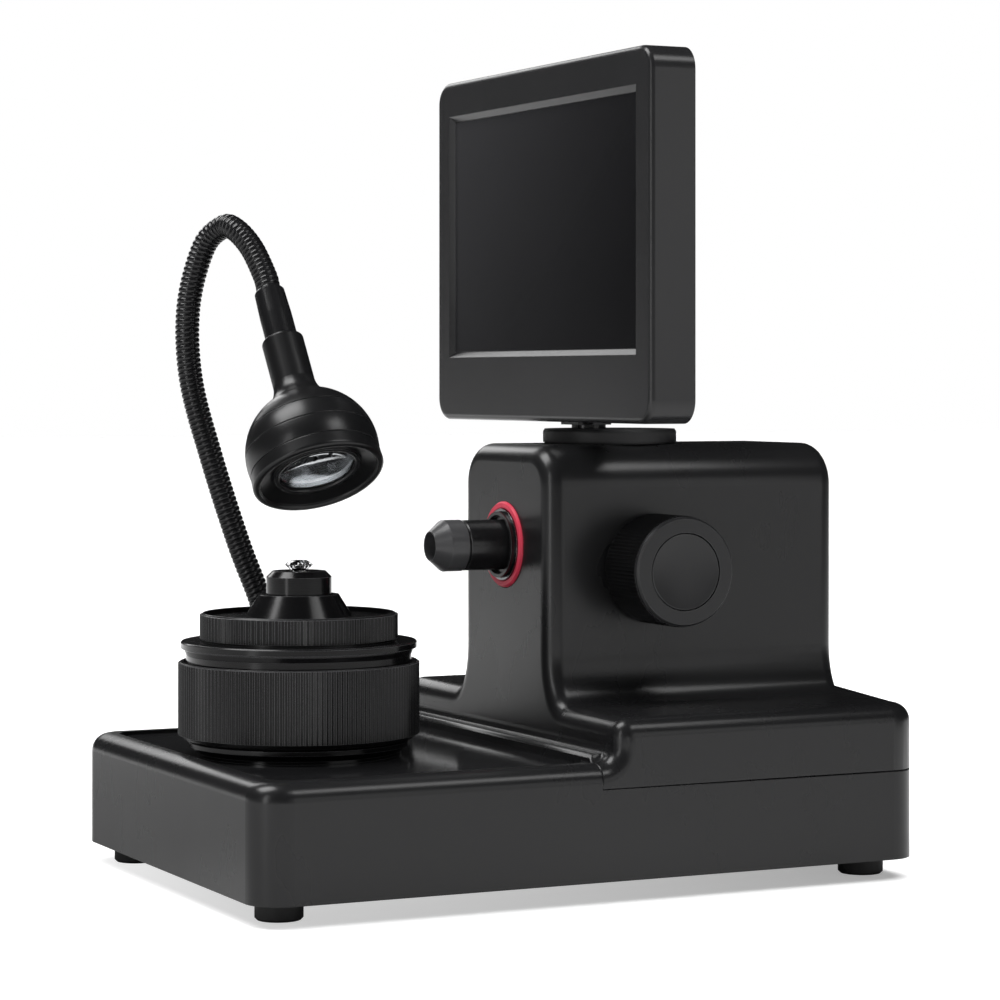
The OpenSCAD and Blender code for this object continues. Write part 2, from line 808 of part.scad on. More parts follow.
module camera_block() {
    color("#5d6166") at_axis() difference() {
        translate([rod_x - 4, tube_end_y, -block_half])
            cube([block_half - rod_x + 4, block_end_y - tube_end_y, 2 * block_half]);
        bar_y(bore_r, tube_end_y - 1, block_end_y - 3);
        bar_y(6.4, block_end_y - 4, block_end_y + 1);
        translate([0, 0, -optic_z])
            rods(rod_r + run_gap, tube_end_y - 1, block_end_y + 1);
    }
}

module sensor_board() {
    color("#1f6b3a") at_axis() {
        translate([-9, block_end_y, -9]) cube([18, board_t, 18]);
        translate([-4, block_end_y - 1.2, -4]) cube([8, 1.2, 8]);
    }
}

module focus_rack() {
    tip = 1.95 * gear_m;
    foot_half = (pitch - backlash) / 4 + 1.25 * gear_m * tan(20);
    tip_half = (pitch - backlash) / 4 - 0.7 * gear_m * tan(20);
    half = rack_teeth * pitch / 2;
    color("#b9bcc0") translate([block_half, focus_y, rack_root_z])
        rotate([90, 0, 90]) linear_extrude(rack_w) polygon(concat(
            [[half, 0], [half, rack_h], [-half, rack_h], [-half, 0]],
            [for (i = [0 : rack_teeth - 1])
                let (y = (i + 0.5) * pitch - half)
                each [
                    [y - foot_half, 0], [y - tip_half, -tip],
                    [y + tip_half, -tip], [y + foot_half, 0]
                ]]
        ));
}

module objective_barrel() {
    color("#2b2c2f") at_axis() difference() {
        union() {
            bar_y(barrel_r, groove_y + 0.9, tube_front_y + 1.2);
            translate([0, groove_y + 0.5, 0]) rotate([-90, 0, 0])
                cylinder(r1 = barrel_r - 0.4, r2 = barrel_r, h = 0.4);
            bar_y(thread_r, tube_front_y + 1.2 - touch, tube_front_y + 6);
            bar_y(obj_r - 0.7, groove_y, groove_y + 0.6);
        }
        bar_y(obj_r - 2.2, groove_y - 1, tube_front_y + 7);
    }
}

module objective_nose() {
    y = groove_y - obj_tip_y;
    ri = obj_tip_r - 0.3;
    color("#232427") at_axis() lathe_y(obj_tip_y) polygon([
        [ri, 0], [obj_tip_r - 0.15, 0], [obj_tip_r, 0.2], [obj_r - 0.1, nose_cone_l],
        [obj_r, nose_cone_l + 0.2], [obj_r, y], [obj_r - 2.2, y], [obj_r - 2.2, 4.4],
        [ri, 4.4]
    ]);
}

module objective_lens() {
    color("#7f93b8") at_axis() difference() {
        bar_y(obj_r - 2.2 - run_gap, obj_tip_y + 4.4, obj_tip_y + 6.6);
        translate([0, obj_tip_y - 14.9, 0]) sphere(20);
    }
}

// ---------- focus drive ----------

module at_focus() {
    translate([0, focus_y, focus_z]) rotate([0, 90, 0]) children();
}

module focus_knob() {
    face = 1.6;
    color("#2e2f32") at_focus() translate([0, 0, knob_x]) difference() {
        union() {
            cylinder(r1 = knob_r - 0.8, r2 = knob_r - 0.3, h = 0.8);
            translate([0, 0, 0.8]) ribbed(knob_r, knob_l - face - 0.8, knob_ribs, 0.45);
            translate([0, 0, knob_l - face]) cylinder(r = knob_r - 0.3, h = face - 0.6);
            translate([0, 0, knob_l - 0.6])
                cylinder(r1 = knob_r - 0.3, r2 = knob_r - 0.8, h = 0.6);
        }
        translate([0, 0, knob_l - cap_recess]) cylinder(r = cap_r + 0.2, h = 10);
        translate([0, 0, -1]) cylinder(r = shaft_r + run_gap, h = knob_l);
    }
}

module knob_cap() {
    crown = 0.5;
    ball_r = (cap_r * cap_r + crown * crown) / (2 * crown);
    color("#3a3b3e") at_focus() translate([0, 0, knob_end_x]) intersection() {
        translate([0, 0, -cap_recess]) cylinder(r = cap_r, h = cap_recess + crown);
        translate([0, 0, crown - ball_r - 0.4]) sphere(ball_r, $fn = 200);
    }
}

module focus_shaft() {
    color("#c2c5c9") at_focus() translate([0, 0, pinion_x - 0.5])
        cylinder(r = shaft_r, h = knob_end_x - cap_recess - pinion_x + 0.3);
}

// Involute flank point at radius r, as an angle from the tooth's centre
function flank(r) =
    let (base = pinion_r * cos(20), q = max(r, base), a = acos(base / q))
    (90 / pinion_teeth) - backlash / 4 / pinion_r * 180 / PI
        + (tan(20) * 180 / PI - 20) - (tan(a) * 180 / PI - a);

module focus_pinion() {
    tip_r = pinion_r + gear_m;
    root_r = pinion_r - 0.95 * gear_m;
    levels = [root_r, pinion_r * 0.96, pinion_r, pinion_r * 1.08, tip_r];
    color("#b08d3f") at_focus() translate([0, 0, pinion_x]) difference() {
        linear_extrude(pinion_w) union() {
            circle(root_r);
            for (i = [0 : pinion_teeth - 1]) rotate(180 + i * 360 / pinion_teeth)
                polygon(concat(
                    [[0, 0]],
                    [for (r = levels) [r * cos(flank(r)), -r * sin(flank(r))]],
                    [for (k = [4 : -1 : 0]) let (r = levels[k])
                        [r * cos(flank(r)), r * sin(flank(r))]]
                ));
        }
        translate([0, 0, -1]) cylinder(r = shaft_r + 0.01, h = pinion_w + 2);
    }
}

// ---------- monitor ----------

module turntable_disc() {
    color("#232427") translate([0, turn_y, tower_top]) {
        rotate_extrude() {
            square([turn_r - 0.4, turn_h]);
            translate([0, 0.4]) square([turn_r, turn_h - 1.4]);
            intersection() {
                translate([turn_r - 1, turn_h - 1]) quarter(1);
                square([turn_r, turn_h]);
            }
        }
        translate([0, 0, -wall - 5]) cylinder(r = turn_hub_r, h = wall + 5 + touch);
    }
}

module turntable_nut() {
    color("#9a9da1") translate([0, turn_y, tower_roof_z - 2.6]) difference() {
        cylinder(r = turn_hub_r + 5, h = 2.5);
        translate([0, 0, -1]) cylinder(r = turn_hub_r + 0.01, h = 5);
    }
}

module monitor_bracket() {
    tab_z = mon_z - 0.9;
    color("#1b1c1e") {
        translate([0, stud_y, tower_top + turn_h])
            cylinder(r = stud_r, h = mon_gap - 0.9 + touch);
        translate([-5, mon_rear_y - 3, tab_z]) cube([10, 10, 0.9]);
        translate([-8, mon_rear_y, tab_z]) cube([16, 2.4, 16]);
    }
}

// Repeats its children at the four monitor posts, turned to point to the front
module monitor_posts(y) {
    translate([0, y, mon_mid_z]) rotate([90, 0, 0]) four(mon_post_x, mon_post_z) children();
}

module monitor_case() {
    inner_w = mon_w - 2 * mon_wall;
    inner_h = mon_h - 2 * mon_wall;
    color("#2a2b2e") difference() {
        union() {
            difference() {
                translate([0, mon_rear_y, mon_mid_z]) rotate([90, 0, 0])
                    soft_slab(mon_w, mon_h, mon_d, mon_r, mon_edge_r);
                translate([0, mon_rear_y + 1, mon_mid_z]) rotate([90, 0, 0])
                    linear_extrude(mon_rear_y + 1 - panel_y)
                        round_rect(inner_w, inner_h, mon_r - mon_wall);
            }
            intersection() {
                monitor_posts(back_y) cylinder(r = 3, h = back_y - panel_y + 0.5);
                translate([-mon_w / 2 + 1, mon_y + 1, mon_z + 1])
                    cube([mon_w - 2, mon_d, mon_h - 2]);
            }
        }
        hull() {
            screen_window(mon_y - touch, 0);
            screen_window(panel_y, bevel_w);
        }
        monitor_posts(back_y + 1) cylinder(r = 1.05, h = 7);
    }
}

module screen_window(y, inset) {
    translate([-open_w / 2 + inset, y, open_z + inset])
        cube([open_w - 2 * inset, touch, open_h - 2 * inset]);
}

module monitor_back() {
    slots = 9;
    color("#232427") difference() {
        union() {
            translate([0, mon_rear_y, mon_mid_z]) rotate([90, 0, 0]) linear_extrude(back_t)
                round_rect(mon_w - 2 * (mon_wall + fit_gap), mon_h - 2 * (mon_wall + fit_gap),
                    mon_r - mon_wall - fit_gap);
            monitor_board_posts() cylinder(r = 2.5, h = 2.4);
        }
        for (i = [0 : slots - 1]) translate([(i - (slots - 1) / 2) * 6, 0, mon_mid_z + 24])
            translate([-1, back_y - 1, 0]) cube([2, back_t + 2, 12]);
        monitor_posts(mon_rear_y + 1) cylinder(r = 1.2, h = 5);
        monitor_posts(mon_rear_y) translate([0, 0, -touch])
            cylinder(r1 = 2.2, r2 = 1.2, h = 1);
    }
}

module monitor_board_posts() {
    translate([0, back_y, mon_mid_z]) rotate([90, 0, 0]) four(mon_board_w / 2 - 6, mon_board_h / 2 - 5)
        children();
}

module lcd_panel() {
    color("#050607") translate([-open_w / 2 - 2, panel_y, open_z - 0.7])
        cube([open_w + 4, panel_t, open_h + 1.4]);
}

module monitor_board() {
    color("#1f6b3a") {
        translate([-mon_board_w / 2, mon_board_y, mon_mid_z - mon_board_h / 2])
            cube([mon_board_w, board_t, mon_board_h]);
        for (x = [-0.3, 0.14]) translate([x * mon_board_w, mon_board_y - 0.5, mon_mid_z - 10])
            cube([mon_chip, 0.5, mon_chip]);
    }
}

module monitor_screws() {
    color("#8a8a8c") monitor_posts(mon_rear_y - 0.05) flat_screw(1, 2, 7);
}

// ---------- stage ----------

module at_stage() {
    translate([0, stage_y, 0]) children();
}

module stage_holes(z0, z1) {
    at_stage() for (a = [90, 210, 330]) rotate(a) translate([18, 0, z0])
        cylinder(r = 1.6, h = z1 - z0);
}

module stage_foot() {
    color("#1b1c1e") at_stage() difference() {
        union() {
            rotate_extrude() polygon([
                [0, platform_z], [foot_disc_r - 2.2, platform_z],
                [foot_disc_r - 2.2, platform_z + 0.8], [foot_disc_r, platform_z + 2.4],
                [foot_disc_r, foot_disc_top - 0.5], [foot_disc_r - 0.5, foot_disc_top],
                [0, foot_disc_top]
            ]);
            translate([0, 0, foot_disc_top - touch]) cylinder(r = hub_r, h = hub_top - foot_disc_top);
        }
        translate([0, 0, foot_disc_top]) cylinder(r = stem_r + run_gap, h = hub_top);
        for (a = [90, 210, 330]) rotate(a) translate([18, 0, platform_z - 1])
            cylinder(r = 1.3, h = foot_disc_h);
    }
}

module stage_screws() {
    color("#8a8a8c") at_stage() for (a = [90, 210, 330]) rotate(a)
        translate([18, 0, tray_roof_z])
            pan_screw(1.25, 2.6, 2, platform_z - tray_roof_z + foot_disc_h - 1.5);
}

module height_ring() {
    low = 1;
    root = ring_r - rib_h;
    color("#2b2c2f") at_stage() difference() {
        union() {
            translate([0, 0, ring_z]) cylinder(r1 = root - 1, r2 = root - 0.1, h = low);
            translate([0, 0, ring_z + low]) ribbed(ring_r, ring_h - low - 0.3, ring_ribs, rib_h);
            translate([0, 0, ring_top - 0.3 - touch]) cylinder(r = root - 0.1, h = 0.3 + touch);
        }
        translate([0, 0, ring_z + web_t]) cylinder(r = ring_bore_r, h = ring_h);
        translate([0, 0, ring_z - 1]) cylinder(r = hub_r + run_gap, h = ring_h);
        translate([0, 0, ring_top - 0.7])
            cylinder(r1 = ring_bore_r, r2 = ring_bore_r + 0.8, h = 0.71);
    }
}

module lift_table() {
    color("#242528") at_stage() {
        difference() {
            rotate_extrude() polygon([
                [0, skirt_z], [skirt_r, skirt_z], [skirt_r, flange_z - 1.6],
                [flange_r - 0.9, flange_z - 0.3], [flange_r - 0.9, flange_z],
                [flange_r, flange_z + 0.2], [flange_r, flange_top - 0.3],
                [flange_r - 0.3, flange_top], [boss_r, flange_top],
                [boss_r, flange_top + boss_h], [0, flange_top + boss_h]
            ]);
            translate([0, 0, skirt_z - 1])
                cylinder(r = skirt_r - skirt_wall, h = flange_z - skirt_z - 1);
            translate([0, 0, flange_top - 2]) cylinder(r = 4.1, h = 10);
        }
        translate([0, 0, ring_z + web_t]) cylinder(r = stem_r, h = flange_z - ring_z - web_t);
    }
}

module turning_table() {
    low = 0.6;
    color("#2b2c2f") at_stage() difference() {
        union() {
            translate([0, 0, flange_top]) cylinder(r = table_r - 0.7, h = low);
            translate([0, 0, flange_top + low])
                ribbed(table_r, table_h - low - 0.4, table_ribs, rib_h);
            translate([0, 0, table_top - 0.4])
                cylinder(r1 = table_r - rib_h - 0.1, r2 = table_r - rib_h - 0.4, h = 0.4);
        }
        translate([0, 0, flange_top - 1]) cylinder(r = boss_r + run_gap, h = boss_h + 1.1);
        translate([0, 0, plate_top - plate_t]) cylinder(r = table_r - plate_inset, h = 5);
        translate([0, 0, flange_top]) cylinder(r = 4.1, h = table_h);
    }
}

module table_plate() {
    color("#303134") at_stage()
        ring(table_r - plate_inset - 0.1, 4.1, plate_top - plate_t, plate_top);
}

module cone_holder() {
    pin = plate_top - flange_top - boss_h - 0.4;
    color("#1e1f22") at_stage() translate([0, 0, plate_top]) difference() {
        union() {
            cylinder(r = cone_r, h = 0.4);
            translate([0, 0, 0.4]) cylinder(r1 = cone_r, r2 = cone_top_r, h = cone_h - 0.4);
            translate([0, 0, -pin]) cylinder(r = 4, h = pin + 1);
        }
        translate([0, 0, 1.5]) cylinder(r = 5, h = cone_h);
    }
}

module stone_cup() {
    chamfer = 1.5;
    color("#26272a") at_stage() translate([0, 0, cone_top]) difference() {
        union() {
            translate([0, 0, -cone_h + 1.6]) cylinder(r = 4.95, h = cone_h - 1.6 + touch);
            cylinder(r = cup_r, h = cup_h - chamfer);
            translate([0, 0, cup_h - chamfer])
                cylinder(r1 = cup_r, r2 = cup_r - 1.5, h = chamfer);
        }
        translate([0, 0, culet_z - cone_top - 0.15]) cylinder(
            r1 = 0.05, r2 = stone_d * 0.6, h = stone_d * 0.6 / (stone_d / 2) * (girdle_z - culet_z));
    }
}

// Round brilliant: octagonal table, 16-sided girdle, eight pavilion mains
module sample_stone() {
    r = stone_d / 2;
    girdle = 0.02 * stone_d;
    crown = 0.15 * stone_d;
    color("#eef4ff", 0.6) at_stage() {
        hull() {
            translate([0, 0, girdle_z]) cylinder(r = r, h = girdle, $fn = 16);
            translate([0, 0, girdle_z + girdle]) rotate(22.5)
                cylinder(r = 0.78 * r, h = 0.62 * crown, $fn = 8);
            translate([0, 0, girdle_z + girdle]) cylinder(r = 0.56 * r, h = crown, $fn = 8);
            translate([0, 0, girdle_z - 0.62 * (girdle_z - culet_z)]) rotate(22.5)
                cylinder(r = 0.42 * r, h = touch, $fn = 8);
            translate([0, 0, culet_z]) cylinder(r = 0.03 * r, h = touch, $fn = 8);
        }
    }
}

// ---------- lamp ----------

module at_socket() {
    translate([socket_x, socket_y, platform_z]) children();
}

// Lamp head's own frame: origin at the lens, +Z back along the neck
module at_head() {
    at_socket() translate(head_at) rotate([0, -lamp_tilt, head_turn]) children();
}

module lamp_socket() {
    drop = platform_z - tray_roof_z;
    color("#1f2022") at_socket() difference() {
        union() {
            cylinder(r = socket_r + 0.7, h = 1.6);
            cylinder(r = socket_r, h = socket_h - 0.8);
            translate([0, 0, socket_h - 0.8])
                cylinder(r1 = socket_r, r2 = socket_r - 0.8, h = 0.8);
            translate([0, 0, -drop - 4]) cylinder(r = socket_bore_r + 1, h = drop + 4.1);
        }
        translate([0, 0, -drop - 2]) cylinder(r = socket_bore_r, h = drop + socket_h + 4);
    }
}

module lamp_nut() {
    color("#9a9da1") at_socket() translate([0, 0, tray_roof_z - platform_z - 3]) difference() {
        cylinder(r = socket_r + 1.5, h = 3, $fn = 6);
        translate([0, 0, -1]) cylinder(r = socket_bore_r + 1.02, h = 6);
    }
}

module lamp_ferrule() {
    color("#18191b") at_socket() difference() {
        union() {
            translate([0, 0, -3]) cylinder(r = ferrule_r, h = 3 + socket_h + touch);
            translate([0, 0, socket_h]) cylinder(r = ferrule_r + 1, h = 5);
            translate([0, 0, socket_h + 5]) cylinder(
                r1 = ferrule_r + 1, r2 = ferrule_r, h = ferrule_top - platform_z - socket_h - 5);
        }
        translate([0, 0, -2.2]) cylinder(r = neck_r + 0.12, h = 40);
    }
}

function unit(v) = v / norm(v);
function spline(p, i, t) =
    let (a = p[max(i - 1, 0)], b = p[i], c = p[i + 1], d = p[min(i + 2, len(p) - 1)])
    0.5 * (2 * b + (c - a) * t + (2 * a - 5 * b + 4 * c - d) * t * t
        + (3 * b - a - 3 * c + d) * t * t * t);
function route(p, steps) = concat(
    [for (i = [0 : len(p) - 2], k = [0 : steps - 1]) spline(p, i, k / steps)],
    [p[len(p) - 1]]);

// Round tube along a list of points
module sweep(path, r, sides, side_dir) {
    n = len(path);
    points = [
        for (i = [0 : n - 1])
            let (
                t = unit(path[min(i + 1, n - 1)] - path[max(i - 1, 0)]),
                u = unit(side_dir - (side_dir * t) * t),
                w = cross(t, u)
            )
            for (k = [0 : sides - 1]) path[i] + r * (cos(k * 360 / sides) * u + sin(k * 360 / sides) * w)
    ];
    ends = [[for (k = [sides - 1 : -1 : 0]) k], [for (k = [0 : sides - 1]) (n - 1) * sides + k]];
    skin = [
        for (i = [0 : n - 2], k = [0 : sides - 1])
            let (a = i * sides + k, b = i * sides + (k + 1) % sides)
            each [[a, b, b + sides], [a, b + sides, a + sides]]
    ];
    polyhedron(points = points, faces = concat(ends, skin), convexity = 10);
}

module gooseneck() {
    color("#202124") at_socket()
        sweep(route(neck_points, neck_steps), neck_r, neck_sides, neck_side_dir);
}

module lamp_sleeve() {
    l = sleeve_s - sleeve_end_s;
    color("#1c1d1f") at_head() translate([0, 0, sleeve_end_s]) difference() {
        union() {
            cylinder(r = neck_r + 1, h = l - 8);
            translate([0, 0, l - 8]) cylinder(r1 = neck_r + 1, r2 = neck_r + 0.75, h = 7.5);
            translate([0, 0, l - 0.5]) cylinder(r1 = neck_r + 0.75, r2 = neck_r + 0.4, h = 0.5);
        }
        translate([0, 0, l - neck_entry - 2]) cylinder(r = neck_r + 0.12, h = 30);
    }
}

module lamp_shell() {
    reach = sqrt(pow(dome_r + neck_blend - 0.01, 2) - pow(head_neck_r + neck_blend, 2));
    share = dome_r / (dome_r + neck_blend);
    fillet_s = dome_s + reach;
    fillet_r = head_neck_r + neck_blend - 0.01;
    color("#222326") at_head() rotate_extrude() difference() {
        union() {
            intersection() {
                translate([0, dome_s]) circle(dome_r);
                translate([0, rim_s]) square([dome_r + 1, 2 * dome_r]);
            }
            translate([0, rim_s]) square([head_neck_r, head_neck_s - rim_s - 0.8]);
            translate([0, rim_s]) square([head_neck_r - 0.8, head_neck_s - rim_s]);
            translate([head_neck_r - 0.8, head_neck_s - 0.8]) quarter(0.8);
            difference() {
                polygon([
                    [0, dome_s], [fillet_r * share, dome_s + reach * share],
                    [fillet_r, fillet_s], [0, fillet_s]
                ]);
                translate([fillet_r, fillet_s]) circle(neck_blend);
            }
        }
        translate([0, dome_s]) circle(dome_r - shell_t);
        square([neck_r + 1.05, head_neck_s + 1]);
        translate([0, -dome_r]) square([dome_r - shell_t, dome_r + dome_s]);
        for (s = [7.2, 12.8])
            translate([sqrt(pow(dome_r, 2) - pow(s - dome_s, 2)) - 0.2, s - 0.1])
                square([1, 0.25]);
    }
}

module lamp_rim() {
    lip = 1;
    out_r = dome_r - 0.15;
    color("#1a1b1d") at_head() rotate_extrude() {
        polygon([
            [lens_r - 0.4, 0], [lens_r + 0.9, -0.35], [lens_r + 1.2, 0.2],
            [out_r - 1.9, lip_s + 0.9], [out_r - 1.5, lip_s], [out_r - lip, lip_s],
            [out_r, lip_s + lip], [dome_r - 0.3, rim_s - 0.2], [dome_r - 0.6, rim_s],
            [lens_r + 2.4, rim_s], [lens_r + 2.4, 8], [lens_r + 0.05, 8],
            [lens_r + 0.05, 0.9], [lens_r - 0.4, 0.6]
        ]);
        translate([out_r - lip, lip_s + lip]) circle(lip);
    }
}

module lamp_lens() {
    ball = 30;
    color("#b9c4cc", 0.5) at_head() {
        intersection() {
            translate([0, 0, ball - 1.2]) sphere(ball, $fn = 200);
            translate([0, 0, -3]) cylinder(r = lens_r - 0.45, h = 4);
        }
        translate([0, 0, 0.95]) cylinder(r = lens_r, h = 2);
    }
}

module lamp_led() {
    color("#d8d8c8") at_head() {
        translate([0, 0, 8]) cylinder(r = lens_r + 2.4, h = 1.6);
        translate([0, 0, 6.2]) cylinder(r = 2.5, h = 1.8 + touch);
        translate([0, 0, 6.2]) sphere(2);
    }
}

// ---------- electronics ----------

module main_board() {
    color("#1f6b3a") difference() {
        translate([-board_w / 2, board_y, board_z]) cube([board_w, board_l, board_t]);
        board_posts() cylinder(r = 1.2, h = 10);
    }
}

module power_inlet() {
    d = 11;
    color("#101011") difference() {
        union() {
            translate([inlet_x - d / 2, rear_y - wall - 12, part_z]) cube([d, 12, d]);
            translate([inlet_x, 0, inlet_z]) bar_y(inlet_d / 2 + 1.4, rear_y - wall - touch, rear_y - 0.3);
        }
        difference() {
            translate([inlet_x, 0, inlet_z]) bar_y(inlet_d / 2, rear_y - wall - 7, rear_y + 1);
            translate([inlet_x, 0, inlet_z]) bar_y(1, rear_y - wall - 8, rear_y - 1.2);
        }
    }
}

module power_switch() {
    color("#101011") difference() {
        translate([button_x - 6, switch_y - 10, part_z]) cube([12, 10, 11]);
        translate([button_x, 0, inlet_z]) bar_y(2.1, switch_y - 6, switch_y + 1);
    }
}

module power_button() {
    color("#3a3b3e") translate([button_x, 0, inlet_z]) {
        bar_y(2, switch_y - 6 + button_travel + 0.5, button_y - 4);
        bar_y(button_r, button_y - 4, button_y - 0.4);
        translate([0, button_y - 0.4, 0]) rotate([-90, 0, 0])
            cylinder(r1 = button_r, r2 = button_r - 0.4, h = 0.4);
    }
}

base_tray();
bottom_plate();
rubber_feet();
case_screws();
cover_screws();
platform_plate();
upper_cover();
port_bush();
port_ring();
optics_frame();
guide_rods();
shaft_bush();
camera_tube();
camera_block();
sensor_board();
focus_rack();
objective_barrel();
objective_nose();
objective_lens();
focus_knob();
knob_cap();
focus_shaft();
focus_pinion();
turntable_disc();
turntable_nut();
monitor_bracket();
monitor_case();
monitor_back();
lcd_panel();
monitor_board();
monitor_screws();
stage_foot();
stage_screws();
height_ring();
lift_table();
turning_table();
table_plate();
cone_holder();
stone_cup();
sample_stone();
lamp_socket();
lamp_nut();
lamp_ferrule();
gooseneck();
lamp_sleeve();
lamp_shell();
lamp_rim();
lamp_lens();
lamp_led();
main_board();
power_inlet();
power_switch();
power_button();
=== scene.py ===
import json
import math
from types import SimpleNamespace

import bpy
from mathutils import Matrix, Vector


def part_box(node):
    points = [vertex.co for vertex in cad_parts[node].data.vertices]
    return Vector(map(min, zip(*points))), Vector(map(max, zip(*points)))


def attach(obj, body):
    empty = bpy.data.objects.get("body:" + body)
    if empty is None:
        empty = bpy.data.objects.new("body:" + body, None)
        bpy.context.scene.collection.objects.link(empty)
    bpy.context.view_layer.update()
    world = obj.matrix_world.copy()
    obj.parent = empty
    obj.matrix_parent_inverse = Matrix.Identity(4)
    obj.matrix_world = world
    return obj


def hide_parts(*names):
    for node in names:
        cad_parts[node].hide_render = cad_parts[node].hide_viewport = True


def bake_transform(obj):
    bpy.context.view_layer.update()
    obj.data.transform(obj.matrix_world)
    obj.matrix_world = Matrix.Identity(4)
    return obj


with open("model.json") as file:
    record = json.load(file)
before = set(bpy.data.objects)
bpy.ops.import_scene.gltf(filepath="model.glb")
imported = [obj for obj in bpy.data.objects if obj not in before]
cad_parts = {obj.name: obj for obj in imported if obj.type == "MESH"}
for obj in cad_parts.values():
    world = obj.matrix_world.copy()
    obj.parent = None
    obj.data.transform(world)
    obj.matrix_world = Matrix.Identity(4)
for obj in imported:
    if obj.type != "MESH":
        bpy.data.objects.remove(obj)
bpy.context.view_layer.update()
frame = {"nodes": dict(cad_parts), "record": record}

bl_info = {
    "name": "Bench microscope with screen",
    "version": (1, 0, 0),
    "blender": (4, 5, 0),
    "location": "3D View > Sidebar > Microscope",
    "description": "Dresses a bench microscope with a swivel screen and a gooseneck lamp",
    "category": "Object",
}

MM = 0.001
RECORD_COLOURS = {
    row["slot"]: tuple(row["base_color"][:3]) for row in frame["record"]["materials"]
}
NODE_SLOTS = {
    row["node"]: row["material_slot"] for row in frame["record"]["subparts"]
}


# ---------- sizes taken from the frame ----------


def middle(node):
    """The centre of a node's box."""
    low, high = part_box(node)
    return (low + high) / 2


STAGE_AXIS = middle("height_ring")
SOCKET = middle("lamp_ferrule")
FLOOR_OF_SOCKET = 0.033

# The lamp's head: its lens's centre, how far it tilts and turns, and how far behind the
# lens the LED's plate lies
HEAD_AT = Vector((-0.0021, -0.05, 0.1058))
HEAD_TILT = math.radians(32.3)
HEAD_TURN = math.radians(2.9)
LED_PLATE = 0.0078
HEAD_FRAME = (
    Matrix.Translation(HEAD_AT)
    @ Matrix.Rotation(HEAD_TURN, 4, "Z")
    @ Matrix.Rotation(-HEAD_TILT, 4, "Y")
)


# ---------- settings a user would change ----------


class StudioSettings(bpy.types.PropertyGroup):
    """The floor, the lights and the lens."""
    floor_size: bpy.props.FloatProperty(
        name="Floor size", description="Width of the pale floor", default=12.0, unit="LENGTH")
    floor_colour: bpy.props.FloatVectorProperty(
        name="Floor colour", description="Colour of the floor", default=(0.9, 0.9, 0.9),
        size=3, subtype="COLOR", min=0, max=1)
    surround: bpy.props.FloatProperty(
        name="Surround light", description="Strength of the surround where it is brightest",
        default=0.5)
    sky: bpy.props.FloatProperty(
        name="Overhead light", description="Strength of the broad light that fills the floor",
        default=2.9)
    left: bpy.props.FloatProperty(
        name="Left light", description="Power of the tall light at the left", default=2.3,
        unit="POWER")
    upper_left: bpy.props.FloatProperty(
        name="Upper left light", description="Power of the raised light at the left",
        default=9.0, unit="POWER")
    upper_right: bpy.props.FloatProperty(
        name="Upper right light", description="Power of the raised light at the right",
        default=2.6, unit="POWER")
    right: bpy.props.FloatProperty(
        name="Right panel", description="Power of the wide panel at the right", default=1.8,
        unit="POWER")
    behind: bpy.props.FloatProperty(
        name="Rear light", description="Power of the light behind the left side", default=1.8,
        unit="POWER")
    lens: bpy.props.FloatProperty(
        name="Lens", description="Focal length of the camera", default=113.01, unit="CAMERA")


class FinishSettings(bpy.types.PropertyGroup):
    """What the surfaces look like."""
    grain: bpy.props.FloatProperty(
        name="Grain", description="Size of the moulded grain", default=0.00028,
        unit="LENGTH", precision=5)
    case_roughness: bpy.props.FloatProperty(
        name="Case roughness", description="Roughness of the moulded case", default=0.27,
        min=0, max=1, subtype="FACTOR")
    edge_wear: bpy.props.FloatProperty(
        name="Edge wear", description="How bright the handled edges are", default=0.35,
        min=0, max=1, subtype="FACTOR")
    dish: bpy.props.FloatProperty(
        name="Dish of the knob's cap", description="How deep the knob's cap is dished",
        default=0.0013, unit="LENGTH", precision=5)
    ring_colour: bpy.props.FloatVectorProperty(
        name="Port ring colour", description="Colour of the ring round the port",
        default=RECORD_COLOURS["ring_red"], size=3, subtype="COLOR", min=0, max=1)


class CoverSettings(bpy.types.PropertyGroup):
    """The cover's finer shape."""
    shoulder: bpy.props.FloatProperty(
        name="Shoulder radius", description="Radius of the tower's long top edges",
        default=0.011, unit="LENGTH", precision=5)
    flare_width: bpy.props.FloatProperty(
        name="Flare width", description="Width of the flare at the tower's foot",
        default=0.0065, unit="LENGTH", precision=5)
    flare_height: bpy.props.FloatProperty(
        name="Flare height", description="Height of the flare at the tower's foot",
        default=0.013, unit="LENGTH", precision=5)
    bead_top: bpy.props.FloatProperty(
        name="Bead height", description="Top of the bead behind the platform",
        default=0.036, unit="LENGTH", precision=5)
    groove: bpy.props.FloatProperty(
        name="Groove width", description="Width of the groove along the joint",
        default=0.0004, unit="LENGTH", precision=5)
    groove_depth: bpy.props.FloatProperty(
        name="Groove depth", description="Depth of the groove along the joint",
        default=0.0005, unit="LENGTH", precision=5)


class HoseSettings(bpy.types.PropertyGroup):
    """The gooseneck's skin."""
    radius: bpy.props.FloatProperty(
        name="Radius", description="Radius of the gooseneck over its ribs", default=0.0033,
        unit="LENGTH", precision=5)
    depth: bpy.props.FloatProperty(
        name="Rib depth", description="Depth of the groove between two ribs",
        default=0.00028, unit="LENGTH", precision=5)
    pitch: bpy.props.FloatProperty(
        name="Rib pitch", description="Distance from rib to rib", default=0.00142,
        unit="LENGTH", precision=5)
    sides: bpy.props.IntProperty(
        name="Sides", description="Faces round the gooseneck", default=28, min=8, max=64)


class LampSettings(bpy.types.PropertyGroup):
    """The lamp's reflector."""
    cup_depth: bpy.props.FloatProperty(
        name="Reflector depth", description="Depth of the reflector behind the lens",
        default=0.0048, unit="LENGTH", precision=5)


# ---------- modelling helpers ----------


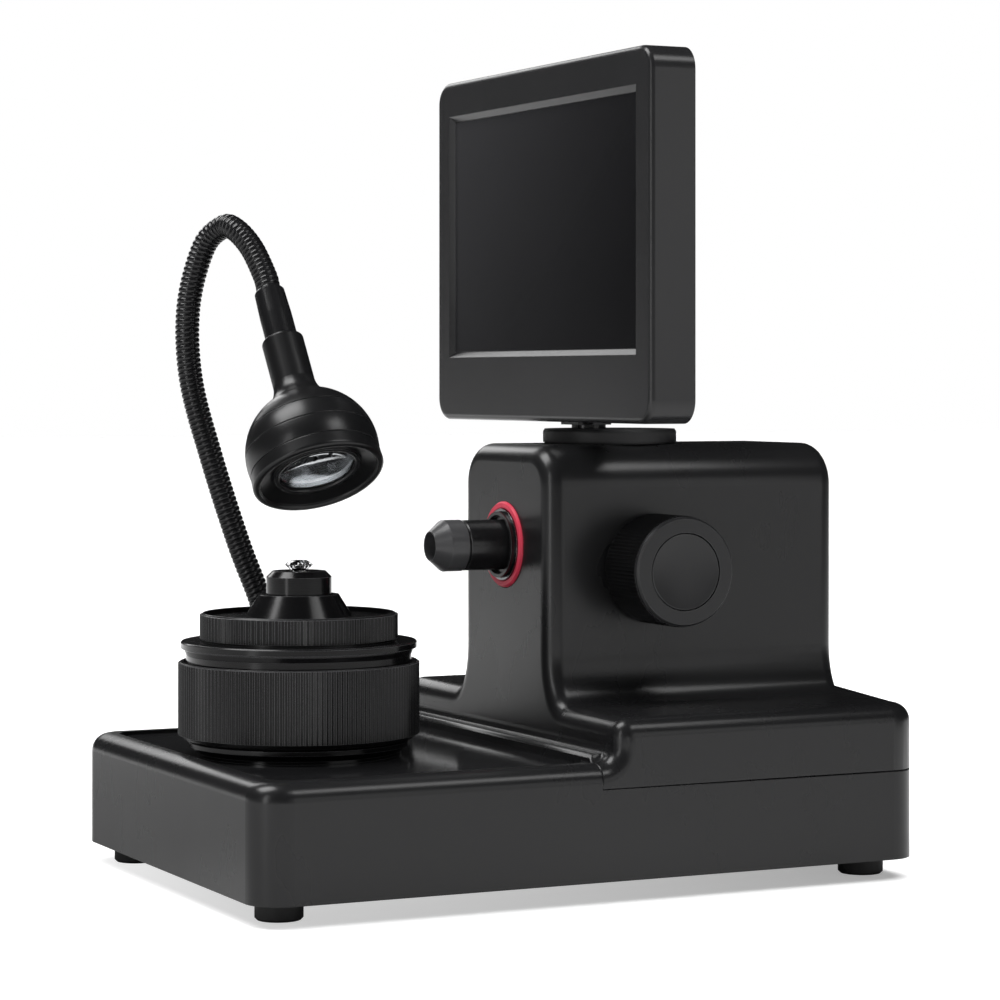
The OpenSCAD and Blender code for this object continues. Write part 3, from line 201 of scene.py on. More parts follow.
def start_clean():
    """Leaves edit mode and deselects everything."""
    if bpy.context.object and bpy.context.object.mode != "OBJECT":
        bpy.ops.object.mode_set(mode="OBJECT")
    bpy.ops.object.select_all(action="DESELECT")


def edit(piece, mode="VERT"):
    """Opens a piece in edit mode."""
    bpy.context.view_layer.objects.active = piece
    piece.select_set(True)
    bpy.ops.object.mode_set(mode="EDIT")
    bpy.ops.mesh.select_mode(type=mode)


def pick_edges(piece, wanted):
    """Selects the edges of a piece for which wanted() is true, in edit mode."""
    bpy.ops.mesh.select_all(action="DESELECT")
    bpy.ops.object.mode_set(mode="OBJECT")
    for edge in piece.data.edges:
        edge.select = wanted(edge)
    bpy.ops.object.mode_set(mode="EDIT")


def apply_modifier(piece, kind, **settings):
    """Adds a modifier to a piece and applies it."""
    made = piece.modifiers.new(kind.title(), kind)
    for key, value in settings.items():
        setattr(made, key, value)
    bpy.context.view_layer.objects.active = piece
    bpy.ops.object.modifier_apply(modifier=made.name)


def finish_piece(piece, name, place=None, smooth=35):
    """Names a piece, puts its place into its mesh and smooths what is round."""
    start_clean()
    piece.name = name
    piece.data.name = name
    bpy.context.view_layer.objects.active = piece
    piece.select_set(True)
    if place is not None:
        piece.matrix_world = place
    bpy.ops.object.transform_apply(location=True, rotation=True, scale=True)
    if smooth:
        bpy.ops.object.shade_smooth_by_angle(angle=math.radians(smooth))
    start_clean()
    return piece


def turned(profile, sides, closed=True):
    """A turned piece about Z: profile is a row of (radius, height) stations.

    A closed profile joins its last station to its first, and an open one ends in flat caps."""
    start_clean()
    radius, height = profile[0]
    bpy.ops.mesh.primitive_circle_add(vertices=sides, radius=radius, location=(0, 0, height))
    piece = bpy.context.object
    bpy.ops.object.transform_apply(location=True, rotation=False, scale=False)
    edit(piece, "EDGE")
    bpy.ops.mesh.select_all(action="SELECT")
    if not closed:
        bpy.ops.mesh.edge_face_add()
    for before, after in zip(profile, profile[1:]):
        bpy.ops.mesh.extrude_region_move(
            TRANSFORM_OT_translate={"value": (0, 0, after[1] - before[1])})
        grow = after[0] / before[0]
        bpy.ops.transform.resize(value=(grow, grow, 1), center_override=(0, 0, after[1]))
    if closed:
        last = sides * (len(profile) - 1)
        pick_edges(piece, lambda e: max(e.vertices) < sides or min(e.vertices) >= last)
        bpy.ops.mesh.bridge_edge_loops()
    bpy.ops.mesh.select_all(action="SELECT")
    bpy.ops.mesh.normals_make_consistent(inside=False)
    bpy.ops.object.mode_set(mode="OBJECT")
    return piece


# ---------- materials ----------


class Wire:
    """One output socket. Arithmetic on it adds Math nodes."""

    def __init__(self, nodes, socket):
        self.nodes = nodes
        self.socket = socket

    def math(self, operation, *values, clamp=False):
        """A Math node on the given values."""
        return self.nodes.node(
            "ShaderNodeMath", {"operation": operation, "use_clamp": clamp}, *values)

    def __add__(self, other):
        return self.math("ADD", self, other)

    def __radd__(self, other):
        return self.math("ADD", other, self)

    def __sub__(self, other):
        return self.math("SUBTRACT", self, other)

    def __rsub__(self, other):
        return self.math("SUBTRACT", other, self)

    def __mul__(self, other):
        return self.math("MULTIPLY", self, other)

    def __rmul__(self, other):
        return self.math("MULTIPLY", other, self)

    def __truediv__(self, other):
        return self.math("DIVIDE", self, other)

    def __rtruediv__(self, other):
        return self.math("DIVIDE", other, self)

    def __pow__(self, other):
        return self.math("POWER", self, other)

    def __rpow__(self, other):
        return self.math("POWER", other, self)

    def limit(self):
        """The value held between 0 and 1."""
        return self.math("ADD", self, 0.0, clamp=True)

    def over(self, level):
        """1 where the value is above a level, and 0 elsewhere."""
        return self.math("GREATER_THAN", self, level)


class Nodes:
    """The nodes of a material or of the world, added through one method."""

    def __init__(self, owner, output):
        owner.use_nodes = True
        self.tree = owner.node_tree
        self.tree.nodes.clear()
        self.surface = self.tree.nodes.new(output).inputs["Surface"]

    def feed(self, socket, value):
        """Links a wire to a socket, or sets a plain value on it."""
        if isinstance(value, Wire):
            self.tree.links.new(value.socket, socket)
        elif value is not None:
            socket.default_value = value

    def node(self, kind, settings=None, *values, output=0, **named):
        """Adds a node, feeds its inputs by place or by name, and gives one output."""
        made = self.tree.nodes.new(kind)
        for key, value in (settings or {}).items():
            setattr(made, key, value)
        for index, value in enumerate(values):
            self.feed(made.inputs[index], value)
        for name, value in named.items():
            self.feed(made.inputs[name.replace("_", " ").title()], value)
        return Wire(self, made.outputs[output])

    def parts(self, vector):
        """The X, Y and Z of a vector."""
        split = self.node("ShaderNodeSeparateXYZ", None, vector)
        outputs = split.socket.node.outputs
        return [Wire(self, outputs[index]) for index in range(3)]


class Finish(Nodes):
    """A material with one Principled shader."""

    def __init__(self, name, colour, roughness, **fixed):
        self.material = bpy.data.materials.new(name)
        super().__init__(self.material, "ShaderNodeOutputMaterial")
        self.shader = self.tree.nodes.new("ShaderNodeBsdfPrincipled")
        self.tree.links.new(self.shader.outputs["BSDF"], self.surface)
        self.material.diffuse_color = (*colour, 1)
        self.put(base_color=(*colour, 1), roughness=roughness, **fixed)
        self.position = self.node("ShaderNodeTexCoord", output="Object")

    def put(self, **sockets):
        """Sets or links the shader's sockets."""
        for name, value in sockets.items():
            key = name.replace("_", " ").title().replace("Ior", "IOR")
            self.feed(self.shader.inputs[key], value)

    def noise(self, size, detail=3.0, roughness=0.55, place=None):
        """Noise whose blobs are about as wide as size."""
        return self.node(
            "ShaderNodeTexNoise", None, place or self.position, scale=1 / size,
            detail=detail, roughness=roughness, output="Fac")

    def cells(self, size):
        """Distance from the middle of the nearest cell, for cells as wide as size."""
        return self.node(
            "ShaderNodeTexVoronoi", None, self.position, scale=1 / size, output="Distance")

    def stretch(self, scale):
        """The position scaled unevenly, for a pattern that runs along one way."""
        return self.node("ShaderNodeMapping", None, self.position, None, None, scale)

    def from_axis(self, centre, axis):
        """Distance from the line through centre along axis, X, Y or Z."""
        moved = self.node("ShaderNodeMapping", None, self.position, [-c for c in centre])
        parts = self.parts(moved)
        del parts["XYZ".index(axis)]
        return (parts[0] ** 2 + parts[1] ** 2) ** 0.5

    def blend(self, factor, first, second):
        """From the first colour at factor 0 to the second at 1."""
        first, second = (
            side if isinstance(side, Wire) else (*side[:3], 1) for side in (first, second))
        return self.node("ShaderNodeMixRGB", None, factor, first, second)

    def soft_edge(self, radius):
        """A normal that rounds hard edges, and a mask of where they are."""
        rounded = self.node("ShaderNodeBevel", {"samples": 6}, radius)
        flat = self.node("ShaderNodeNewGeometry", output="Normal")
        alike = self.node(
            "ShaderNodeVectorMath", {"operation": "DOT_PRODUCT"}, rounded, flat,
            output="Value")
        return rounded, ((1 - alike) * 9).limit()

    def bump(self, height, depth, normal, strength):
        """Bumps the surface by a height, over a normal or over the plain surface for None."""
        self.put(normal=self.node(
            "ShaderNodeBump", None, height=height, distance=depth, strength=strength,
            normal=normal))


# What shows where handling has rubbed an edge; on metal it is also a painted highlight, most of
# all on the stage's parts
RUBBED_PLASTIC = (0.05, 0.05, 0.052, 1)
RUBBED_METAL_AND_HIGHLIGHT = (0.16, 0.16, 0.165, 1)


def moulded(name, colour, roughness, grain, wear, edge=0.00035):
    """Black moulded plastic: fine spark-eroded grain, slow changes in sheen, rubbed edges."""
    f = Finish(name, colour, roughness, specular_ior_level=0.3)
    rounded, edges = f.soft_edge(edge)
    slow = f.noise(0.045, 2)
    smear = f.noise(0.012, 3, place=f.stretch((1, 1, 0.35)))
    fine = f.noise(grain, 2, 0.7)
    pores = f.cells(grain * 1.8)
    tint = f.blend(slow, [c * 0.86 for c in colour], [c * 1.18 for c in colour])
    tint = f.node("ShaderNodeMixRGB", {"blend_type": "ADD"},
                  (edges * wear * smear).limit(), tint, RUBBED_PLASTIC)
    f.put(base_color=tint,
          roughness=(roughness - 0.05 + slow * 0.07 + smear * 0.05 - edges * 0.06).limit())
    f.bump(fine * 0.7 + pores * 0.45, grain * 0.12, rounded, 0.2)
    return f.material


def anodised(name, colour, roughness, centre=None, axis="Z", wear=0.35, grip=None,
             gloss=0.3):
    """Anodised metal, turned on a lathe: rings from the tool and bright rubbed edges.

    Short of grip, a place along the axis, the metal is glossier, and its colour is painted darker
    as painted shade."""
    f = Finish(name, colour, roughness, specular_ior_level=gloss)
    rounded, edges = f.soft_edge(0.0002)
    slow = f.noise(0.02, 2)
    speck = f.noise(0.00035, 2, 0.6)
    height = speck * 0.5
    if centre is not None:
        reach = f.from_axis(centre, axis)
        along = f.parts(f.position)["XYZ".index(axis)]
        tool = f.noise(1.0, 2, 0.6, place=f.node(
            "ShaderNodeCombineXYZ", None, reach * 5200, along * 5200, 0.0))
        height = height + tool
        slow = slow * 0.6 + tool * 0.4
    tint = f.blend(slow, [c * 0.8 for c in colour], [c * 1.25 for c in colour])
    # Lighter edges: partly rubbed wear, partly a painted highlight
    tint = f.node("ShaderNodeMixRGB", {"blend_type": "ADD"},
                  (edges * wear * (slow + 0.35)).limit(), tint, RUBBED_METAL_AND_HIGHLIGHT)
    sheen = roughness - 0.06 + slow * 0.14 - edges * 0.05
    # Painted shade: short of grip the colour is darkened to a third
    if grip is not None:
        handled = along.over(grip)
        tint = f.blend(handled, [c * 0.35 for c in colour], tint)
        sheen = sheen * (handled * 0.5 + 0.5)
    f.put(base_color=tint, roughness=sheen.limit())
    f.bump(height, 0.000018, rounded, 0.5)
    return f.material


def bare_metal(name, colour, roughness, axis="Z"):
    """Machined metal, brushed along one way, with faint stains."""
    f = Finish(name, colour, roughness, metallic=1.0)
    rounded, _ = f.soft_edge(0.00015)
    long_way = [4000.0, 4000.0, 4000.0]
    long_way["XYZ".index(axis)] = 90.0
    brushed = f.noise(1.0, 3, 0.6, place=f.stretch(long_way))
    stain = f.noise(0.008, 4, 0.6)
    f.put(base_color=f.blend(brushed * 0.6 + stain * 0.4, [c * 0.72 for c in colour],
                             [min(1, c * 1.15) for c in colour]),
          roughness=(roughness - 0.1 + brushed * 0.16 + stain * 0.12).limit())
    f.bump(brushed, 0.00001, rounded, 0.5)
    return f.material


def dull_rubber(name, colour):
    """Moulded rubber with a pale bloom."""
    f = Finish(name, colour, 0.72, specular_ior_level=0.35)
    rounded, edges = f.soft_edge(0.0004)
    fine = f.noise(0.0004, 3, 0.7)
    bloom = f.noise(0.006, 3)
    f.put(base_color=f.blend(bloom * 0.5 + edges * 0.4, colour, [c * 2.4 for c in colour]),
          roughness=(0.62 + bloom * 0.2).limit())
    f.bump(fine, 0.00006, rounded, 0.6)
    return f.material


def polished_black(name, colour, roughness):
    """Polished plastic sheet with hairline wipe marks and a little dust."""
    f = Finish(name, colour, roughness)
    rounded, _ = f.soft_edge(0.0003)
    wipe = f.noise(0.0012, 3, 0.6, place=f.stretch((1, 0.08, 1)))
    dust = (f.noise(0.0007, 2) - 0.68).limit() * 3
    slow = f.noise(0.03, 2)
    f.put(base_color=f.blend((dust * 0.25 + slow * 0.2).limit(), colour, (0.06, 0.06, 0.062)),
          roughness=(roughness + wipe * 0.07 + dust * 0.25 + slow * 0.05).limit())
    f.bump(wipe * 0.4 + dust, 0.000008, rounded, 0.4)
    return f.material


# Phase of the display's rows and columns of cells, in radians per metre
CELL_PHASE = 9000


def screen_surface(name, colour):
    """A dark display behind a clear face: faint rows of cells, and a painted sheen that lightens
    the colour towards the upper left.
    """
    f = Finish(name, colour, 0.16, specular_ior_level=0.06)
    across, _, up = f.parts(f.position)
    rows = f.node("ShaderNodeMath", {"operation": "SINE"}, up * CELL_PHASE)
    columns = f.node("ShaderNodeMath", {"operation": "SINE"}, across * CELL_PHASE)
    weave = rows * columns
    film = f.noise(0.05, 2)
    low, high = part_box("lcd_panel")
    wide, tall = high.x - low.x, high.z - low.z
    # Painted sheen: a painted reflection that lightens the screen's colour from the lower right
    # to the upper left, with a little random film
    painted_sheen_slant = (across - low.x) / wide * 0.62 + (1 - (up - low.z) / tall) * 0.38
    lightening = ((1 - painted_sheen_slant) ** 1.6) * 0.92 + film * 0.08
    f.put(base_color=f.blend((lightening + weave * 0.02).limit(), (0.002, 0.002, 0.0025),
                             (0.034, 0.034, 0.036)),
          roughness=(0.1 + film * 0.08).limit())
    return f.material


def board_finish(name, colour):
    """A circuit board: copper tracks under the lacquer, and round pads."""
    f = Finish(name, colour, 0.35, specular_ior_level=0.5)
    tracks = f.node("ShaderNodeTexBrick", {"offset": 0.37}, f.position, (*colour, 1),
                    tuple(c * 1.25 for c in colour) + (1,), tuple(c * 0.5 for c in colour) + (1,),
                    scale=160.0)
    pads = f.cells(0.0032)
    copper = 1 - (pads * 3.4).limit()
    f.put(base_color=f.blend((copper * 0.8).limit(), tracks, (0.55, 0.5, 0.36)),
          metallic=(copper.over(0.55) * 0.8), roughness=(0.3 + pads * 0.3).limit())
    f.bump(pads, 0.00004, None, 0.4)
    return f.material


def clear_glass(name, tint, ior, roughness=0.02):
    """Clear glass or stone with faint smears."""
    f = Finish(name, tint, roughness, transmission_weight=1.0, ior=ior)
    smear = f.noise(0.004, 3)
    f.put(roughness=(smear - 0.42).limit() * 0.12)
    return f.material


def led_finish(name):
    """White ceramic plate with a yellow phosphor dome."""
    f = Finish(name, (0.8, 0.8, 0.78), 0.4)
    moved = f.node("ShaderNodeMapping", None, f.position, [-c for c in HEAD_AT])
    distance = f.node("ShaderNodeVectorMath", {"operation": "LENGTH"}, moved, output="Value")
    dome = 1 - ((distance - LED_PLATE) * 2500).limit()
    speck = f.noise(0.0004, 2)
    f.put(base_color=f.blend(dome, (0.74, 0.74, 0.72), (0.86, 0.72, 0.3)),
          roughness=(0.3 + speck * 0.2).limit())
    f.bump(speck, 0.00003, None, 0.3)
    return f.material


def silvered(name):
    """Vacuum-metallised reflector with a faint orange-peel."""
    f = Finish(name, (0.2, 0.2, 0.21), 0.2, metallic=1.0)
    peel = f.noise(0.0009, 2)
    lightening = f.noise(0.003, 3)
    f.put(base_color=f.blend(lightening, (0.3, 0.3, 0.305), (0.55, 0.55, 0.56)),
          roughness=(0.12 + lightening * 0.12).limit())
    f.bump(peel, 0.00003, None, 0.4)
    return f.material


def painted_ring(name, colour):
    """Red anodised ring with turning marks."""
    low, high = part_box("port_ring")
    f = Finish(name, colour, 0.3, specular_ior_level=0.1)
    rounded, edges = f.soft_edge(0.00025)
    reach = f.from_axis((low + high) / 2, "Y")
    tool = f.noise(1.0, 2, place=f.node("ShaderNodeCombineXYZ", None, reach * 6000, 0.0, 0.0))
    slow = f.noise(0.004, 2)
    worn = (edges * 0.5 * (slow + 0.3)).limit()
    f.put(base_color=f.blend(worn, f.blend(tool, [c * 0.8 for c in colour], colour),
                             (0.85, 0.12, 0.13)),
          roughness=(0.3 + tool * 0.12).limit())
    f.bump(tool, 0.00001, rounded, 0.5)
    return f.material


def make_finishes(settings):
    """One material for each of the record's slots."""
    grain = settings.grain
    rough = settings.case_roughness
    wear = settings.edge_wear
    black = (0.0085, 0.0085, 0.009)
    stage = tuple(STAGE_AXIS)
    port = tuple(middle("port_ring"))
    return {
        "case_plastic": moulded("Housing_moulding", black, rough, grain, wear),
        # Painted light: the monitor's plastic is a lighter copy of the case's, painting in the
        # brighter light on the monitor
        "monitor_moulding": moulded("Monitor_moulding", (0.013, 0.013, 0.0137), 0.24, grain,
                                    wear),
        "inner_plastic": moulded("Inner_moulding", (0.01, 0.01, 0.0105), 0.5, grain, wear),
        "button_grey": moulded("Button_moulding", (0.045, 0.045, 0.047), 0.45, grain, wear),
        "foot_rubber": dull_rubber("Foot_rubber", (0.011, 0.011, 0.011)),
        "gooseneck_skin": moulded("Hose_skin", (0.007, 0.007, 0.0076), 0.2, 0.0005, 0.2,
                                  0.00015),
        "screw_steel": bare_metal("Screw_steel", (0.42, 0.42, 0.43), 0.32),
        "rod_steel": bare_metal("Rod_steel", (0.62, 0.63, 0.64), 0.22, "Y"),
        "frame_metal": bare_metal("Frame_metal", (0.55, 0.56, 0.58), 0.36, "X"),
        "bush_brass": bare_metal("Bush_brass", (0.72, 0.53, 0.24), 0.25, "X"),
        "platform_gloss": polished_black("Platform_sheet", (0.005, 0.005, 0.0055), 0.04),
        # The stage's parts take twice the edge wear: their bright edges are partly rubbed and
        # partly a painted highlight along the ribs
        "anodised_black": anodised("Anodised_black", (0.006, 0.006, 0.0064), 0.22, stage,
                                   "Z", wear * 2, gloss=0.2),
        "stage_paint": anodised("Anodised_turned", (0.004, 0.004, 0.0043), 0.16, stage,
                                "Z", wear * 2, gloss=0.2),
        "port_metal": anodised("Port_metal", (0.008, 0.008, 0.0085), 0.24, port, "Y", wear),
        "nose_metal": anodised("Nose_metal", (0.05, 0.05, 0.052), 0.3, port, "Y", wear),
        "port_rim": bare_metal("Port_rim", (0.2, 0.2, 0.205), 0.2, "Y"),
        "retainer_black": anodised("Retainer_black", (0.012, 0.012, 0.0125), 0.16,
                                   tuple(HEAD_AT)),
        "knob_metal": anodised("Knob_metal", (0.011, 0.011, 0.0117), 0.4,
                               tuple(middle("focus_knob")), "X", wear,
                               grip=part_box("focus_knob")[1].x - 0.0016),
        "bracket_paint": anodised("Bracket_paint", (0.009, 0.009, 0.0095), 0.2),
        "lamp_paint": moulded("Lamp_paint", (0.006, 0.006, 0.0064), 0.28, 0.00035, 0.25),
        "ring_red": painted_ring("Ring_red", tuple(settings.ring_colour)),
        "board_green": board_finish("Board_green", (0.02, 0.13, 0.06)),
        "screen_face": screen_surface("Screen_face", (0.006, 0.006, 0.007)),
        "lens_glass": clear_glass("Lens_glass", (0.93, 0.96, 0.98), 1.5),
        "stone_clear": clear_glass("Stone_clear", (0.99, 0.99, 1.0), 2.1, 0.0),
        "led_white": led_finish("Led_plate"),
        "silver": silvered("Reflector_silver"),
    }


FINISHES = {}
OWN_FINISH = {
    "port_bush": "port_rim",
    "camera_tube": "port_metal",
    "objective_barrel": "port_metal",
    "objective_nose": "nose_metal",
    "focus_knob": "knob_metal",
    "monitor_case": "monitor_moulding",
    "monitor_back": "monitor_moulding",
}


def finish(key):
    """The material of a slot or of a node's own finish, made at its first use."""
    if not FINISHES:
        FINISHES.update(make_finishes(bpy.context.scene.microscope_finish))
    return FINISHES[key]


def paint(piece, key):
    """Gives a modelled piece its finish."""
    piece.data.materials.clear()
    piece.data.materials.append(finish(key))
    return piece


def dress(*nodes):
    """Gives CAD nodes their finish."""
    for node in nodes:
        key = OWN_FINISH.get(node, NODE_SLOTS[node])
        piece = frame["nodes"][node]
        if not piece.material_slots:
            piece.data.materials.append(None)
        for place in piece.material_slots:
            place.material = finish(key)


# ---------- pieces ----------


# The cover's own sizes, in mm, in which its settings are used too
TOWER_HALF = 26.0
TOWER_TOP = 112.0
TOWER_FRONT = 3.0
TOWER_REAR = 90.0
DECK_TOP = 45.0
SOFT_EDGE = 4.6
SHOULDER_OF_SOLID = 8.0
FLARE_OF_SOLID = 10.0
TOE_FRONT = -1.5
TOE_HOLLOW = (-1.3, 38.3, 4.3)
RIM_TOP = 34.0
SEAM = 27.8
COVER_HALF = 64.65
COVER_REAR = 92.5
COVER_CORNER = 9.0
PLATFORM_HALF = 58.15
BEAD_END = 0.8
BEAD_FOOT = 0.6
STEEPEST = 0.97
JOINT_BAND = 1.5
NEAR = 0.02
# A face whose normal's largest part is above this lies along an axis and stays flat
ALONG_AXIS = 0.99999


def edge_inset(y):
    """How far the tower's outline stands back at y, within its soft front and rear edges."""
    depth = min(SOFT_EDGE - min(y - TOWER_FRONT, TOWER_REAR - y), SOFT_EDGE)
    return SOFT_EDGE - math.sqrt(SOFT_EDGE ** 2 - depth ** 2) if depth > 0 else 0.0


def shoulder(x, y, z, s):
    """Opens the tower's long top edges to a larger radius."""
    across = x - (TOWER_HALF - SHOULDER_OF_SOLID)
    up = z - (TOWER_TOP - SHOULDER_OF_SOLID)
    reach = math.hypot(across, up)
    on_it = abs(reach - SHOULDER_OF_SOLID + edge_inset(y)) < NEAR
    if min(across, up) < -NEAR or not on_it:
        return x, z
    grow = s.shoulder - SHOULDER_OF_SOLID
    longer = (reach + grow) / reach
    return (TOWER_HALF - s.shoulder + across * longer, TOWER_TOP - s.shoulder + up * longer)


def flare(x, y, z, s):
    """Turns the round flare at the tower's foot into a narrow, tall one."""
    in_from = FLARE_OF_SOLID - (x - TOWER_HALF)
    down_from = FLARE_OF_SOLID - (z - DECK_TOP)
    inset = edge_inset(y)
    on_it = abs(math.hypot(in_from, down_from) - FLARE_OF_SOLID - inset) < NEAR
    if min(in_from, down_from) < -NEAR or not on_it:
        return x, z
    turn = math.atan2(down_from, in_from)
    wide, tall = s.flare_width, s.flare_height
    outward = Vector((tall * math.cos(turn), wide * math.sin(turn))).normalized()
    return (TOWER_HALF + wide * (1 - math.cos(turn)) - inset * outward.x,
            DECK_TOP + tall * (1 - math.sin(turn)) - inset * outward.y)


def bead(x, y, z, s):
    """Raises the cover's front edge behind the platform into a round bead."""
    axis_y, axis_z, radius = TOE_HOLLOW
    behind = max(y - axis_y, 0.0)
    if not TOE_FRONT - NEAR < y < axis_y + radius or x > PLATFORM_HALF:
        return z
    hollow = axis_z - math.sqrt(radius ** 2 - min(behind, radius) ** 2)
    if abs(z - hollow) > NEAR:
        return z
    round_r = s.bead_top - RIM_TOP - BEAD_FOOT
    back = min(max(1 - (y - TOE_FRONT) / round_r, 0), STEEPEST)
    top = s.bead_top - round_r * (1 - math.sqrt(1 - back ** 2))
    share = min((PLATFORM_HALF - x) / BEAD_END, 1.0)
    return z + max(top - z, 0) * share


def groove(x, y, z, s):
    """Draws the cover's outer edge in along its joint with the tray."""
    deep = s.groove_depth
    out = Vector((max(x - COVER_HALF + COVER_CORNER, 0),
                  max(y - COVER_REAR + COVER_CORNER, 0)))
    if abs(z - SEAM) < NEAR and out.length > COVER_CORNER - JOINT_BAND:
        inward = out.normalized() * deep
        return x - inward.x, y - inward.y, z
    if abs(y - TOE_FRONT) < NEAR and z > SEAM + NEAR:
        out = Vector((max(x - COVER_HALF + SOFT_EDGE, 0), max(z - RIM_TOP + SOFT_EDGE, 0)))
        if x > PLATFORM_HALF and out.length > SOFT_EDGE - NEAR:
            inward = out.normalized() * deep
            return x - inward.x, y, z - inward.y
    return x, y, z


class MICROSCOPE_OT_cover(bpy.types.Operator):
    """Model the cover's finer shape: shoulders, flare, bead and the groove at its joint"""
    bl_idname = "microscope.cover"
    bl_label = "Cover"

    def execute(self, context):
        settings = context.scene.microscope_cover
        s = SimpleNamespace(**{
            key: getattr(settings, key) / MM for key in CoverSettings.__annotations__})
        start_clean()
        cover = bpy.data.objects.new("cover", frame["nodes"]["upper_cover"].data.copy())
        context.collection.objects.link(cover)
        edit(cover)
        cuts = [((0, 0, SEAM + s.groove), (0, 0, 1)), ((0, TOE_FRONT + s.groove, 0), (0, 1, 0))]
        cuts += [((x, 0, 0), (1, 0, 0)) for side in (-PLATFORM_HALF, PLATFORM_HALF)
                 for x in (side, side * (1 - BEAD_END / PLATFORM_HALF))]
        bpy.ops.mesh.select_all(action="SELECT")
        bpy.ops.mesh.remove_doubles(threshold=0.000002)
        for place, normal in cuts:
            bpy.ops.mesh.select_all(action="SELECT")
            bpy.ops.mesh.bisect(plane_co=[c * MM for c in place], plane_no=normal)
        bpy.ops.object.mode_set(mode="OBJECT")
        for point in cover.data.vertices:
            x, y, z = point.co / MM
            side = math.copysign(1, x)
            x = abs(x)
            if TOWER_FRONT - NEAR < y < TOWER_REAR + NEAR:
                x, z = shoulder(x, y, z, s)
                x, z = flare(x, y, z, s)
            z = bead(x, y, z, s)
            x, y, z = groove(x, y, z, s)
            point.co = Vector((side * x, y, z)) * MM
        finish_piece(cover, "cover", smooth=32)
        for face in cover.data.polygons:
            face.use_smooth = max(abs(part) for part in face.normal) < ALONG_AXIS
        paint(cover, "case_plastic")
        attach(cover, "base")
        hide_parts("upper_cover")
        return {"FINISHED"}


class MICROSCOPE_OT_housing(bpy.types.Operator):
    """Finish the base, platform, feet and their screws"""
    bl_idname = "microscope.housing"
    bl_label = "Housing"

    def execute(self, context):
        dress("base_tray", "bottom_plate", "rubber_feet", "case_screws", "cover_screws",
              "platform_plate", "power_inlet", "power_switch", "power_button", "main_board")
        return {"FINISHED"}


# The knob's cap: width and height of its chamfer, how far its face stands back in its seat,
# and the shares of the radius at which its dish has a ring
CAP_CHAMFER = (0.00025, 0.0002, 0.0001)
CAP_RINGS = (0.96, 0.88, 0.78, 0.66, 0.54, 0.42, 0.3, 0.18, 0.06)


class MICROSCOPE_OT_optics(bpy.types.Operator):
    """Finish the port, the objective and its carriage, and model the knob's dished cap"""
    bl_idname = "microscope.optics"
    bl_label = "Optics"

    def execute(self, context):
        dish = context.scene.microscope_finish.dish
        low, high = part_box("knob_cap")
        centre = middle("knob_cap")
        rim = (high.z - low.z) / 2
        inner = rim - CAP_CHAMFER[0]
        face = high.x - low.x - CAP_CHAMFER[2]
        stations = [(rim, 0), (rim, face - CAP_CHAMFER[1]), (inner, face)]
        stations += [(inner * share, face - dish * (1 - share ** 2)) for share in CAP_RINGS]
        cap = turned(stations, 128, closed=False)
        finish_piece(cap, "knob_dish",
                     Matrix.Translation((low.x, centre.y, centre.z))
                     @ Matrix.Rotation(math.radians(90), 4, "Y"), smooth=25)
        paint(cap, "knob_metal")
        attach(cap, "focus")
        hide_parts("knob_cap")
        dress("port_bush", "port_ring", "optics_frame", "guide_rods", "shaft_bush",
              "camera_tube", "camera_block", "sensor_board", "focus_rack",
              "objective_barrel", "objective_nose", "objective_lens", "focus_shaft",
              "focus_pinion", "focus_knob")
        return {"FINISHED"}


class MICROSCOPE_OT_monitor(bpy.types.Operator):
    """Finish the screen, its case and the turntable"""
    bl_idname = "microscope.monitor"
    bl_label = "Monitor"

    def execute(self, context):
        dress("turntable_disc", "turntable_nut", "monitor_bracket", "monitor_case",
              "monitor_back", "lcd_panel", "monitor_board", "monitor_screws")
        return {"FINISHED"}


class MICROSCOPE_OT_stage_parts(bpy.types.Operator):
    """Finish the stage's rings, its table, the holder and the stone"""
    bl_idname = "microscope.stage_parts"
    bl_label = "Stage parts"

    def execute(self, context):
        dress("stage_foot", "stage_screws", "height_ring", "lift_table", "turning_table",
              "table_plate", "cone_holder", "stone_cup", "sample_stone")
        return {"FINISHED"}


class MICROSCOPE_OT_lamp(bpy.types.Operator):
    """Finish the lamp, and model the reflector behind its lens and the ring that holds it"""
    bl_idname = "microscope.lamp"
    bl_label = "Lamp"

    def execute(self, context):
        dress("lamp_socket", "lamp_nut", "lamp_ferrule", "lamp_sleeve", "lamp_shell",
              "lamp_rim", "lamp_lens", "lamp_led")
        depth = context.scene.microscope_lamp.cup_depth
        cup = turned([
            (0.0103, LED_PLATE - depth + 0.00005), (0.0104, LED_PLATE - depth),
            (0.0104, LED_PLATE - 0.0001), (0.0027, LED_PLATE - 0.0001),
            (0.0027, LED_PLATE - 0.0006), (0.0040, LED_PLATE - 0.0009),
            (0.0058, LED_PLATE - 0.0016), (0.0076, LED_PLATE - 0.0027),
            (0.0092, LED_PLATE - 0.0039),
        ], 96)
        finish_piece(cup, "lamp_reflector", HEAD_FRAME)
        paint(cup, "silver")
        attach(cup, "lamp_head")

        retainer = turned([
            (0.0100, -0.0002), (0.0102, -0.0006), (0.0106, -0.0008), (0.0111, -0.0008),
            (0.0114, -0.0006), (0.0114, -0.0003), (0.0108, -0.00005), (0.0102, -0.00005),
        ], 128)
        finish_piece(retainer, "lens_retainer", HEAD_FRAME)
        paint(retainer, "retainer_black")
        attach(retainer, "lamp_head")
        return {"FINISHED"}


